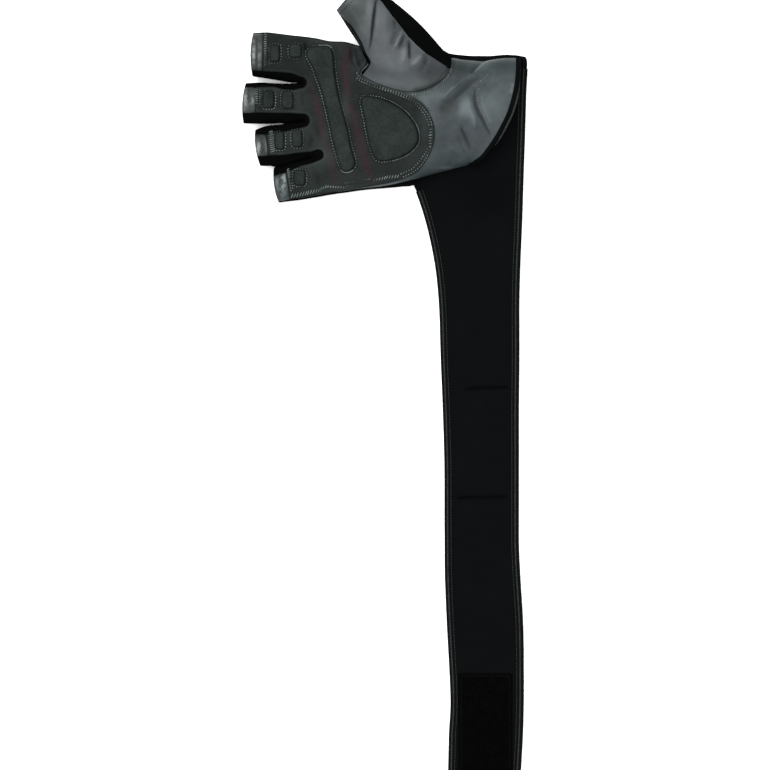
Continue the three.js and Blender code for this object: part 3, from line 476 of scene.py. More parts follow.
# ---------------------------------------------------------------- folds
# columns: points in cells of 0.65 mm, height (minus for a crease), width on the left and on the right of the line
HAND_FOLDS = [
    ([(510, 58), (500, 58.2), (494, 58.9), (490, 60.3), (486.5, 63), (483, 65.8), (479.8, 68.6), (476.4, 71.6), (473, 74.6), (467, 79), (460, 83.5)], 1.05, 5.2, 0.85),
    ([(486, 79), (480, 79), (475, 80.8), (470.5, 84), (467, 87.2), (463.3, 90.4), (459, 94.8), (455, 98.6), (450.5, 102.5), (446, 107)], -0.95, 1.1, 2.0),
    ([(472.5, 72.2), (466.4, 77.8), (460.8, 82.5), (455.6, 86.8), (450.8, 90.6), (445, 96.8), (440, 103)], 0.45, 0.8, 1.5),
    ([(455, 97), (449, 103), (444, 110), (441, 118)], -0.65, 3.6, 3.2),
    ([(467, 92), (467.8, 99), (468.6, 104.5), (470.2, 111), (472.3, 118), (474, 126)], 1.6, 2.2, 4.6),
    ([(472, 110), (473.8, 117), (474.6, 124), (474, 133)], 0.8, 1.2, 2.4),
    ([(474, 84), (474.6, 91), (474.8, 99), (475.8, 106), (478.3, 112.5), (481.3, 118.2), (483.8, 123.9), (486.5, 129.5), (489, 134.5), (491.8, 140)], -0.8, 0.6, 1.1),
    ([(460, 122), (462.3, 129), (464.6, 135), (466.6, 140), (468.4, 145), (470, 150), (471.5, 155)], -0.75, 0.5, 1.6),
    ([(467, 126), (470.5, 137), (474.5, 147), (477, 155)], 0.3, 2.6, 1.6),
    ([(445, 142), (452, 149), (459, 156), (463, 163)], 0.4, 1.8, 3.0),
    ([(450, 150), (456, 157), (460, 163)], -0.45, 2.2, 1.6),
    ([(452, 60), (453.5, 67), (451, 75), (445, 82), (436, 88)], -0.6, 2.0, 1.4),
    ([(415, 106), (425, 100), (434, 95), (442, 88)], 0.5, 4.0, 4.0),
    ([(420, 118), (430, 111), (438, 103)], -0.3, 3.6, 3.6),
    ([(352.5, 44), (351.3, 54), (353.5, 64), (358.5, 73)], -0.5, 0.9, 1.4),
    ([(357.5, 47.5), (356.8, 57), (359.5, 66), (362.8, 72)], -0.8, 0.8, 1.1),
    ([(362.3, 51), (363.2, 60), (365, 67)], -0.6, 0.7, 0.9),
    ([(355, 50), (354.2, 60), (357, 69)], 0.35, 0.9, 0.9),
    ([(304, 41), (306, 47), (306.5, 55)], -0.8, 0.9, 1.2),
    ([(301, 92), (303, 101), (302, 109)], -0.35, 1.4, 1.4),
    ([(313, 121), (318, 132), (321, 145)], -0.35, 1.6, 1.6),
    ([(313, 168), (318, 180), (320, 190)], -0.4, 1.6, 1.6),
    ([(311, 134), (311.5, 141), (308, 149)], -0.5, 1.2, 1.4),
    ([(336, 60), (340, 80), (345, 105), (351, 130), (357, 155)], -0.35, 2.4, 2.4),
]
THUMB_FOLDS = [
    ([(378, -12), (377, 0), (375.5, 8), (374, 17), (372.7, 27), (371.7, 34), (371.1, 41), (369.9, 48), (369, 57)], -1.2, 0.65, 0.6),
    ([(374, -6), (372, 8), (369.5, 20), (367.5, 34)], 0.5, 1.8, 2.4),
    ([(381, -6), (379.5, 10), (377.5, 28), (375.5, 44)], 0.5, 2.4, 1.6),
    ([(385, 6), (384.5, 18), (383, 32)], 0.22, 1.8, 1.8),
    ([(389.5, 10), (389.5, 22), (388, 38)], -0.25, 1.6, 1.6),
    ([(403.5, 28), (400.5, 36), (397.3, 43), (394.3, 50), (392.5, 56)], 0.9, 1.0, 1.2),
    ([(397.5, 30), (395, 37), (392.5, 44), (391, 51)], -0.45, 0.9, 1.6),
    ([(405.5, 35), (402.8, 42), (400.3, 48.5), (398.5, 54)], -1.0, 1.0, 1.0),
    ([(409, 37), (409.4, 46), (409.8, 55), (410, 66)], -1.15, 0.85, 0.8),
    ([(405.8, 45), (405, 53), (403.5, 61), (401, 69)], 0.95, 1.4, 1.9),
    ([(423.5, 53.5), (419, 59), (414, 64.5), (409.5, 70)], 0.95, 1.4, 1.3),
    ([(426.5, 53), (427, 60), (424, 68), (418, 76)], -0.7, 1.4, 2.0),
    ([(394, 19), (395.2, 24), (396, 31)], -0.5, 0.9, 1.1),
    ([(384, 63), (396, 71), (410, 76)], 0.3, 3.0, 3.5),
    ([(345, 6), (352, 14), (358, 24), (362, 36)], 0.4, 1.6, 1.6),
]
# painted highlights along the folds' crests and painted shade in the creases and beside the thumb's seam; heights here
# are amounts of tone
HAND_HIGHLIGHT_SHADE = [
    ([(508, 57.6), (498, 58.2), (492, 59.3), (488.6, 61.1), (485.6, 63.4), (482.4, 66), (479.2, 68.7), (476, 71.4), (473.3, 73.8), (471, 75.8)], 0.8, 0.5, 0.5),
    ([(484.6, 62.4), (481, 65), (477.6, 67.9), (474.4, 70.8), (471.8, 73.3), (469.4, 75.6)], -0.8, 0.5, 1.4),
    ([(449.5, 57), (452, 58.8), (456, 59.2), (462, 60), (470, 60.4), (478, 60.6)], 0.4, 0.6, 0.6),
    ([(450.4, 57.3), (452.2, 59), (454, 60.6)], 0.7, 0.5, 0.5),
    ([(512.8, 83), (511.7, 89), (510.2, 95)], 0.5, 1.0, 1.0),
    ([(485, 79.2), (480, 79.6), (475, 81.2), (470.5, 84.3), (467, 87.4), (463.3, 90.8), (459, 94.9), (455, 98.7), (451, 102.3)], -0.65, 0.7, 0.9),
    ([(474, 71), (470.7, 74), (466, 78.2), (460.8, 82.6), (455.8, 86.8), (450.8, 90.7), (446.5, 95.4), (441, 102)], 0.42, 0.45, 0.5),
    ([(456.3, 133.5), (458.6, 139.5), (461.8, 147), (465.3, 155.5)], -0.4, 0.6, 1.0),
    ([(450.6, 67), (447.4, 73), (443.4, 78.2), (438.6, 82.6), (432, 86.8)], -0.75, 0.75, 0.75),
    ([(474, 85), (474.6, 91), (474.8, 99), (475.8, 106), (478.3, 112.5), (481.3, 118.2), (483.8, 123.9), (486.5, 129.5), (489, 134.5), (491.6, 139.7)], -1.3, 0.45, 0.6),
    ([(460, 126.5), (462.4, 131.5), (464.7, 136.8), (466.8, 142), (468.6, 146.5), (470.2, 152)], -0.85, 0.34, 0.6),
    ([(467.5, 97), (468.3, 103), (468.8, 108)], 0.15, 1.6, 1.6),
    ([(451.9, 58), (451.7, 64), (450.7, 69.5), (448.3, 74.2), (445.5, 77.5)], -2.2, 1.0, 0.9),
    ([(325, 191.8), (335, 191), (345, 190), (355, 188.2), (365, 187), (375, 186), (385, 184.8), (395, 183.6), (403, 182.4), (408, 181)], 0.75, 0.7, 0.7),
    ([(451.6, 62), (451.2, 69), (448, 75.5), (442.3, 81), (436, 85.5), (429, 89), (421, 91.8), (411, 93.2)], -1.0, 0.8, 1.3),
    ([(480.5, 93), (482, 104), (486, 114), (492, 126)], 0.25, 1.0, 1.0),
]
# painted highlights and shade along the thumb's folds and its root seam; heights here are amounts of tone
THUMB_HIGHLIGHT_SHADE = [
    ([(377.6, -8), (376.8, 0), (375.4, 7), (374.4, 14), (373.5, 20), (372.6, 27), (371.8, 33), (371.3, 38), (370.8, 43), (369.8, 48), (368.8, 54)], -1.6, 0.5, 0.5),
    ([(403.2, 30), (400.3, 37), (397.2, 43.5), (394.4, 49.5)], 0.4, 0.6, 0.7),
    ([(396.5, 32), (394, 40), (392, 47)], -0.4, 0.9, 1.2),
    ([(405, 36), (402.6, 42.5), (400.3, 48.5)], -0.8, 0.9, 0.8),
    ([(409.2, 40), (409.6, 50), (409.9, 62)], -1.0, 0.7, 0.7),
    ([(421.5, 56), (417, 61.3), (412, 67)], 0.35, 0.9, 0.9),
    ([(405.2, 48), (404.6, 55), (403, 62)], 0.15, 1.4, 1.5),
    ([(426, 53), (426.6, 60), (424.5, 67)], -0.6, 1.2, 1.5),
    ([(449, 69.5), (446.3, 74), (441.2, 79.6), (435, 84.2), (428, 87.6), (420, 90.1), (410, 91.8)], -1.1, 1.1, 1.1),
    ([(451, 62), (450.2, 66), (448.4, 70.7), (445.2, 75.4), (440.5, 80)], -2.4, 1.3, 1.3),
    ([(395, 22), (395.4, 26)], -0.6, 0.8, 0.8),
    ([(404, 30.5), (408.5, 38), (413, 43), (420, 49), (424.5, 52.5), (430, 59)], 0.3, 0.5, 1.0),
]


# painted highlights and shade round the overlay's puckers at the thumb's crotch; heights here are amounts of tone
SUEDE_HIGHLIGHT_SHADE = [
    ([(353.4, 49.5), (353.3, 55), (354.6, 61)], -0.2, 0.8, 0.9),
    ([(357.2, 48), (356.7, 54), (356, 60), (357, 66)], 0.3, 0.9, 1.0),
    ([(361.6, 53), (361.7, 58), (361.4, 63)], 0.35, 0.9, 0.9),
    ([(363.4, 60), (364.3, 65), (362.6, 69.5)], 0.45, 0.6, 0.6),
    ([(366.2, 60), (366, 65), (363.8, 68.8)], -0.9, 0.6, 0.6),
    ([(359.6, 58), (359.8, 64), (359.4, 69)], -0.35, 0.8, 0.8),
    ([(350.6, 48), (350.2, 56), (351.4, 66)], -0.25, 1.1, 1.1),
    ([(309, 82), (313, 88), (316, 94)], 0.25, 0.8, 0.8),
]


def folds(P, table, taper=0.42):
    out = np.zeros(len(P))
    for pts, height, wl, wr in table:
        line = spline([px(*q) for q in pts], 6)
        L = np.sum(np.linalg.norm(np.diff(line, axis=0), axis=1))
        m = 3.2 * max(wl, wr)
        box = (P[:, 0] > line[:, 0].min() - m) & (P[:, 0] < line[:, 0].max() + m) & (P[:, 1] > line[:, 1].min() - m) & (P[:, 1] < line[:, 1].max() + m)
        if not box.any():
            continue
        Q = P[box]
        d, _, arc = to_line(line, Q)
        near = np.stack([np.interp(arc, np.concatenate([[0], np.cumsum(np.linalg.norm(np.diff(line, axis=0), axis=1))]), line[:, k]) for k in (0, 1)], 1)
        ahead = np.stack([np.interp(np.minimum(arc + 0.5, L), np.concatenate([[0], np.cumsum(np.linalg.norm(np.diff(line, axis=0), axis=1))]), line[:, k]) for k in (0, 1)], 1)
        behind = np.stack([np.interp(np.maximum(arc - 0.5, 0), np.concatenate([[0], np.cumsum(np.linalg.norm(np.diff(line, axis=0), axis=1))]), line[:, k]) for k in (0, 1)], 1)
        t = ahead - behind
        side = t[:, 0] * (Q - near)[:, 1] - t[:, 1] * (Q - near)[:, 0]
        blend = smooth(side / (np.linalg.norm(t, axis=1) + 1e-9) / 1.2 + 0.5)
        w = lerp(wr, wl, blend)
        ends = smooth(arc / (taper * L)) * smooth((L - arc) / (taper * L))
        w = w * (0.55 + 0.45 * ends)
        r = d / w
        out[box] += height * ends * (0.75 * np.exp(-(r ** 2)) + 0.25 * np.exp(-((r / 1.9) ** 2)))
    return out


# ---------------------------------------------------------------- seams and pads
def closed_pad(points):
    return even(spline(points, 8, closed=True), 0.7, closed=True)


def pad_rectangle(x0, x1, y0, y1):
    a = (np.arange(60) + 0.5) / 60 * 2 * math.pi
    k = 2 / 3.8
    c, s = np.cos(a), np.sin(a)
    return np.column_stack([(x0 + x1) / 2 + (x1 - x0) / 2 * np.sign(c) * np.abs(c) ** k, (y0 + y1) / 2 + (y1 - y0) / 2 * np.sign(s) * np.abs(s) ** k])


bar_points = [px(*q) for q in [
    (312.5, 47.2), (320, 46.8), (328.5, 47), (333, 50.5), (335, 57), (336, 70), (338.2, 86), (341.5, 102), (346, 118), (349.5, 132),
    (352.5, 148), (356, 160), (356.3, 166), (353, 171), (347, 173.4), (342, 172), (339, 167), (335.5, 156), (331.5, 140), (327.5, 121),
    (323, 102), (318, 85), (311.5, 68), (306.5, 58.5), (305.6, 53.8), (308, 49.4)]]
PADS = {"knuckle_pad": closed_pad(bar_points), "heel_pad": closed_pad(HEEL_PAD)}
for name, x0, x1, y0, y1 in FINGER_PADS:
    PADS[name] = even(pad_rectangle(x0, x1, y0, y1), 0.5, closed=True)
BORDER = even(spline(SUEDE_BORDER, 8), 1.0)
SUEDE_SHAPE = np.vstack([BORDER, [(-15.2, 200.6), (-10.7, 205.2), (-17.4, 219.0), (-120, 240), (-120, 100), (BORDER[0, 0] - 0.4, 100)]])
ROOT_PLAN = np.array([(r[0], r[1]) for r in THUMB_ROOT])
ROOT_CUT = even(spline([(x, y + (6 if seat == "rim" else 0)) for x, y, seat in THUMB_ROOT], 6, closed=True), 0.8, closed=True)


def in_root(P, grow=0.3):
    return to_polygon(ROOT_CUT, P) + grow


def band_line(rows):
    r, q = rows[0], rows[1]
    axis = np.array([(q[0] + q[3] - r[0] - r[3]) / 2, (q[1] + q[4] - r[1] - r[4]) / 2])
    axis /= np.linalg.norm(axis)
    n = np.array([r[4] - r[1], -(r[3] - r[0])])
    n *= np.sign(n @ axis) / np.linalg.norm(n)
    return np.array([r[0], r[1]]), np.array([(r[0] + r[3]) / 2, (r[1] + r[4]) / 2]), axis, n


def band_margin(P):
    """Distance past the bare leather band at a stall's open end, large elsewhere."""
    out = np.full(len(P), 30.0)
    for name, rows in STALLS:
        corner, middle, axis, n = band_line(rows)
        across = np.abs((P - middle) @ np.array([-axis[1], axis[0]]))
        along = (P - corner) @ n
        hit = (across < 15.2) & (along < 20)
        out[hit] = np.minimum(out[hit], (along - BAND[name])[hit])
    return out


def tip_distance(P):
    return band_margin(P) + 6.5


def suede_margin(P):
    return np.minimum.reduce([to_polygon(SUEDE_SHAPE, P), band_margin(P), sides(P)[1] - 0.25, -in_root(P, 0.0)])


def groove_field(P):
    """How deep the stitch lines pull the suede in."""
    g = np.zeros(len(P))
    for name, line in PADS.items():
        lo, hi = line.min(0) - 3, line.max(0) + 3
        m = (P[:, 0] > lo[0]) & (P[:, 0] < hi[0]) & (P[:, 1] > lo[1]) & (P[:, 1] < hi[1])
        if m.any():
            d = to_line(line, P[m], closed=True)[0]
            g[m] = np.maximum(g[m], (0.62 if "_pad_" not in name and name != "little_pad" else 0.5) * np.exp(-((d / 0.85) ** 2)))
    for off in (1.1, 2.7):
        d = np.abs(to_line(BORDER, P)[0] - off)
        g = np.maximum(g, 0.22 * np.exp(-((d / 0.5) ** 2)))
    return g


def pinch(P, margin):
    return -0.45 * np.exp(-np.maximum(margin, 0) / 0.7)


class Palm:
    """The palm face at plan points: base, normals and the heights of its layers."""

    def __init__(self, P):
        self.P = P
        self.d, self.margin, self.slit, self.g = sides(P, True)
        self.d = np.where(self.d < 2e-3, 0, self.d)
        self.base, self.n = top_base(P, self.d, self.g)
        down = smooth(past_seam(P) / 5) * np.exp(-((self.d / 0.9) ** 2))
        self.base[:, 2] -= 0.6 * down
        self.folds = folds(P, HAND_FOLDS)
        self.u = (self.folds + 0.32 * noise(P, 21, 3) + 0.16 * noise(P, 8.5, 4)) * smooth(self.d / 3.5)

    def at(self, lift):
        return self.base + self.n * (self.u + lift)[:, None]


def suede_top(face):
    sm = suede_margin(face.P)
    round_edge = np.sqrt(np.maximum(0, 1 - (1 - np.clip((sm + 0.12) / 0.8, 0, 1)) ** 2))
    lift = SUEDE * (0.35 + 0.65 * round_edge) - groove_field(face.P) + 0.05 * noise(face.P, 2.6, 11) + 0.025 * noise(face.P, 1.1, 12)
    return np.maximum(lift, 0.12)


# ---------------------------------------------------------------- nets
class Net:
    def __init__(self, P, T, fixed=None):
        self.P, self.T = P, T
        self.fixed = np.zeros(len(P), bool) if fixed is None else fixed

    def pick(self, test):
        c = self.P[self.T].mean(1)
        return Net(self.P, self.T[test(c)], self.fixed)

    def tidy(self):
        used, inv = np.unique(self.T, return_inverse=True)
        return Net(self.P[used], inv.reshape(-1, 3), self.fixed[used])


def grid(lo, hi, h):
    ry = h * math.sqrt(3) / 2
    rows, cols = int((hi[1] - lo[1]) / ry) + 3, int((hi[0] - lo[0]) / h) + 3
    j, i = np.meshgrid(np.arange(rows), np.arange(cols), indexing="ij")
    P = np.stack([lo[0] + (i + 0.5 * (j % 2)) * h, lo[1] + j * ry], axis=-1).reshape(-1, 2)
    a = (j * cols + i)[:-1, :-1]
    b, c, d = a + 1, a + cols, a + cols + 1
    odd = (j % 2)[:-1, :-1] == 1
    t1 = np.where(odd[..., None], np.stack([a, b, d], -1), np.stack([a, b, c], -1))
    t2 = np.where(odd[..., None], np.stack([a, d, c], -1), np.stack([b, d, c], -1))
    return Net(P, np.concatenate([t1.reshape(-1, 3), t2.reshape(-1, 3)]))


def split(net, f, keep=0, h=STEP, snap=0.3):
    """Cuts the net along f = 0. keep 1 leaves f > 0, -1 leaves f < 0, 0 leaves both."""
    P, T, fixed = net.P.copy(), net.T, net.fixed.copy()
    v = f(P)
    near = (np.abs(v) < snap * h) & ~fixed
    if near.any():
        Q, e = P[near], 0.02
        for _ in range(3):
            s = f(Q)
            gx = (f(Q + [e, 0]) - f(Q - [e, 0])) / (2 * e)
            gy = (f(Q + [0, e]) - f(Q - [0, e])) / (2 * e)
            g2 = np.maximum(gx * gx + gy * gy, 0.3)
            Q = Q - np.clip(np.stack([s * gx / g2, s * gy / g2], 1), -snap * h, snap * h)
        P[near] = Q
        v[near] = 0
        fixed[near] = True
    v[np.abs(v) < 0.06 * h] = 0
    s = np.sign(v)
    S = s[T]
    mixed = (S.max(1) > 0) & (S.min(1) < 0)
    parts = [T[~mixed]]
    M, SM = T[mixed], S[mixed]
    if len(M):
        E = M[:, [0, 1, 1, 2, 2, 0]].reshape(-1, 2)
        sE = s[E]
        cut = sE[:, 0] * sE[:, 1] < 0
        ed, inv = np.unique(np.sort(E[cut], axis=1), axis=0, return_inverse=True)
        A, B, va = P[ed[:, 0]], P[ed[:, 1]], v[ed[:, 0]]
        lo, hi = np.zeros(len(ed)), np.ones(len(ed))
        for _ in range(12):
            m = (lo + hi) / 2
            same = (f(A + (B - A) * m[:, None]) > 0) == (va > 0)
            lo, hi = np.where(same, m, lo), np.where(same, hi, m)
        ids = len(P) + np.arange(len(ed))
        P = np.vstack([P, A + (B - A) * lo[:, None]])
        fixed = np.concatenate([fixed, np.ones(len(ed), bool)])
        s = np.concatenate([s, np.zeros(len(ed))])
        C = np.full(len(E), -1)
        C[cut] = ids[inv.reshape(-1)]
        C = C.reshape(-1, 3)
        r = np.arange(len(M))
        z = (SM == 0).any(1)
        k = np.argmax(SM == 0, axis=1)
        a, b, c, m = M[r, k], M[r, (k + 1) % 3], M[r, (k + 2) % 3], C[r, (k + 1) % 3]
        parts += [np.stack([a, b, m], 1)[z], np.stack([a, m, c], 1)[z]]
        lone = np.where(SM[:, 0] == SM[:, 1], 2, np.where(SM[:, 0] == SM[:, 2], 1, 0))
        k = lone
        a, b, c = M[r, k], M[r, (k + 1) % 3], M[r, (k + 2) % 3]
        m, w = C[r, k], C[r, (k + 2) % 3]
        n = ~z
        parts.append(np.stack([a, m, w], 1)[n])
        a, b, c, m, w = a[n], b[n], c[n], m[n], w[n]
        short = np.linalg.norm(P[m] - P[c], axis=1) < np.linalg.norm(P[b] - P[w], axis=1)
        parts += [np.stack([m, b, c], 1)[short], np.stack([m, c, w], 1)[short], np.stack([m, b, w], 1)[~short], np.stack([b, c, w], 1)[~short]]
    T = np.concatenate(parts)
    if keep:
        total = s[T].sum(1)
        flat = np.abs(total) < 0.5
        if flat.any():
            total[flat] = np.sign(f(P[T[flat]].mean(1)))
        T = T[np.sign(total) == keep]
    return Net(P, T, fixed).tidy()


def closed_wall(outer, inner, T, smooth_rim=False):
    """A closed solid between two matching layers of points."""
    n = len(outer)
    E = np.concatenate([T[:, [0, 1]], T[:, [1, 2]], T[:, [2, 0]]])
    key = E[:, 0].astype(np.int64) * n + E[:, 1]
    back = E[:, 1].astype(np.int64) * n + E[:, 0]
    rim = E[~np.isin(key, back)]
    i, j = rim[:, 0], rim[:, 1]
    faces = np.concatenate([T, T[:, ::-1] + n, np.stack([j, i, i + n], 1), np.stack([i + n, j + n, j], 1)])
    return np.vstack([outer, inner]), faces, rim


def make(name, V, F, material, angle=50, attributes=None, smooth_all=False):
    """A mesh object from millimetre points and triangles or quads."""
    V = np.asarray(V, float).copy()
    V[:, 0] += OX
    V[:, 1] += OY
    F = np.asarray(F)
    mesh = bpy.data.meshes.new(name)
    mesh.vertices.add(len(V))
    mesh.vertices.foreach_set("co", (V / 1000).astype(np.float32).ravel())
    mesh.loops.add(F.size)
    mesh.loops.foreach_set("vertex_index", F.astype(np.int32).ravel())
    mesh.polygons.add(len(F))
    mesh.polygons.foreach_set("loop_start", np.arange(0, F.size, F.shape[1], dtype=np.int32))
    mesh.update(calc_edges=True)
    mesh.validate()
    mesh.polygons.foreach_set("use_smooth", np.ones(len(mesh.polygons), bool))
    for key, values in (attributes or {}).items():
        if len(values) == len(mesh.vertices):
            a = mesh.attributes.new(key, "FLOAT", "POINT")
            a.data.foreach_set("value", np.asarray(values, np.float32))
    if not smooth_all:
        mesh.set_sharp_from_angle(angle=math.radians(angle))
    mesh.update()
    o = bpy.data.objects.new(name, mesh)
    bpy.context.scene.collection.objects.link(o)
    mesh.materials.append(material)
    return o


def piece(o, slot, *nodes):
    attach(o, "root")
    if nodes:
        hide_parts(*nodes)
    return o


# ---------------------------------------------------------------- sweeps and stitches
def sweep(path, ups, profile, closed=False, miter=True):
    """A closed profile (outward, up) carried along a path of 3-D points."""
    p = np.asarray(path, float)
    n = len(p)
    if closed:
        t = np.roll(p, -1, 0) - np.roll(p, 1, 0)
    else:
        t = np.gradient(p, axis=0)
    t /= np.linalg.norm(t, axis=1)[:, None]
    up = np.broadcast_to(np.asarray(ups, float), p.shape)
    side = np.cross(t, up)
    side /= np.linalg.norm(side, axis=1)[:, None]
    up = np.cross(side, t)
    m = profile.shape[-2]
    prof = np.broadcast_to(profile, (n, m, 2))
    V = p[:, None] + side[:, None] * prof[:, :, :1] + up[:, None] * prof[:, :, 1:]
    idx = np.arange(n * m).reshape(n, m)
    a, b = idx[:-1], idx[1:]
    if closed:
        a, b = idx, np.roll(idx, -1, 0)
    F = np.stack([a, np.roll(a, -1, 1), np.roll(b, -1, 1), b], -1).reshape(-1, 4)
    T = np.concatenate([F[:, [0, 1, 2]], F[:, [0, 2, 3]]])
    V = V.reshape(-1, 3)
    if not closed:
        c0, c1 = V[:m].mean(0), V[-m:].mean(0)
        k = len(V)
        V = np.vstack([V, c0, c1])
        r = np.arange(m)
        T = np.concatenate([T, np.stack([np.full(m, k), np.roll(r, -1), r], 1), np.stack([np.full(m, k + 1), r + (n - 1) * m, np.roll(r, -1) + (n - 1) * m], 1)])
    # face outwards
    a, b, c = V[T[:, 0]], V[T[:, 1]], V[T[:, 2]]
    if np.einsum("ij,ij->i", a, np.cross(b, c)).sum() < 0:
        T = T[:, ::-1]
    return V, T


def threads(A, B, NA, NB, radius=0.26, rise=0.24, sink=0.18, rings=6, around=6):
    """Short bent threads from A to B over a surface with normals NA and NB."""
    A, B, NA, NB = (np.asarray(q, float) for q in (A, B, NA, NB))
    n = len(A)
    s = np.linspace(0, 1, rings)
    c = A[:, None] * (1 - s)[None, :, None] + B[:, None] * s[None, :, None]
    nn = NA[:, None] * (1 - s)[None, :, None] + NB[:, None] * s[None, :, None]
    nn /= np.linalg.norm(nn, axis=2)[:, :, None]
    h = -sink + (rise + sink) * np.sqrt(np.clip(1 - (2 * s - 1) ** 4, 0, 1))
    c = c + nn * h[None, :, None]
    t = np.gradient(c, axis=1)
    t /= np.linalg.norm(t, axis=2)[:, :, None]
    side = np.cross(t, nn)
    side /= np.linalg.norm(side, axis=2)[:, :, None]
    up = np.cross(side, t)
    a = np.arange(around) / around * 2 * math.pi
    r = np.broadcast_to(radius, (n,))[:, None] * np.sqrt(np.clip(1 - (np.abs(2 * s - 1) * 0.86) ** 3, 0.12, 1))[None]
    V = c[:, :, None] + (side[:, :, None] * np.cos(a)[None, None, :, None] + up[:, :, None] * np.sin(a)[None, None, :, None]) * r[:, :, None, None]
    V = V.reshape(n, -1, 3)
    ends = np.stack([c[:, 0], c[:, -1]], 1)
    V = np.concatenate([V, ends], 1)
    k = rings * around
    F = []
    for i in range(rings - 1):
        for j in range(around):
            p, q = i * around + j, i * around + (j + 1) % around
            F += [(p, q, q + around), (p, q + around, p + around)]
    for j in range(around):
        F += [(k, (j + 1) % around, j), (k + 1, k - around + j, k - around + (j + 1) % around)]
    F = np.array(F)
    V0 = V[0]
    a0, b0, c0 = V0[F[:, 0]], V0[F[:, 1]], V0[F[:, 2]]
    if np.einsum("ij,ij->i", a0 - V0.mean(0), np.cross(b0 - V0.mean(0), c0 - V0.mean(0))).sum() < 0:
        F = F[:, ::-1]
    T = (F[None] + (np.arange(n) * V.shape[1])[:, None, None]).reshape(-1, 3)
    return V.reshape(-1, 3), T


class Bundle:
    def __init__(self):
        self.V, self.T, self.n = [], [], 0

    def add(self, V, T):
        self.V.append(V)
        self.T.append(T + self.n)
        self.n += len(V)

    def get(self):
        return np.vstack(self.V), np.vstack(self.T)


def offset_line(line, off, closed=False):
    t = (np.roll(line, -1, 0) - np.roll(line, 1, 0)) if closed else np.gradient(line, axis=0)
    t /= np.linalg.norm(t, axis=1)[:, None]
    return line + np.stack([-t[:, 1], t[:, 0]], 1) * off


def run_pairs(line, pitch, length, closed=False, shift=0.0):
    """Start and end plan points of running stitches along a line."""
    p = np.vstack([line, line[:1]]) if closed else line
    s = np.concatenate([[0], np.cumsum(np.linalg.norm(np.diff(p, axis=0), axis=1))])
    n = max(1, int(round(s[-1] / pitch)))
    q = s[-1] / n
    a = np.arange(n) * q + shift * q
    b = a + q * length
    keep = b <= s[-1] + 1e-6 if not closed else np.ones(n, bool)
    f = lambda t: np.stack([np.interp(np.mod(t, s[-1]) if closed else t, s, p[:, k]) for k in (0, 1)], 1)
    return f(a[keep]), f(b[keep])


def bar_pairs(line, pitch, inside, outside, slant=0.0):
    """Start and end plan points of stitches that cross a line."""
    p = even(line, pitch)
    t = np.gradient(p, axis=0)
    t /= np.linalg.norm(t, axis=1)[:, None]
    nrm = np.stack([-t[:, 1], t[:, 0]], 1)
    return p + nrm * inside + t * slant, p - nrm * outside - t * slant


def jitter(n, amount, seed):
    rng = np.random.RandomState(seed)
    return rng.uniform(-amount, amount, (n, 2))

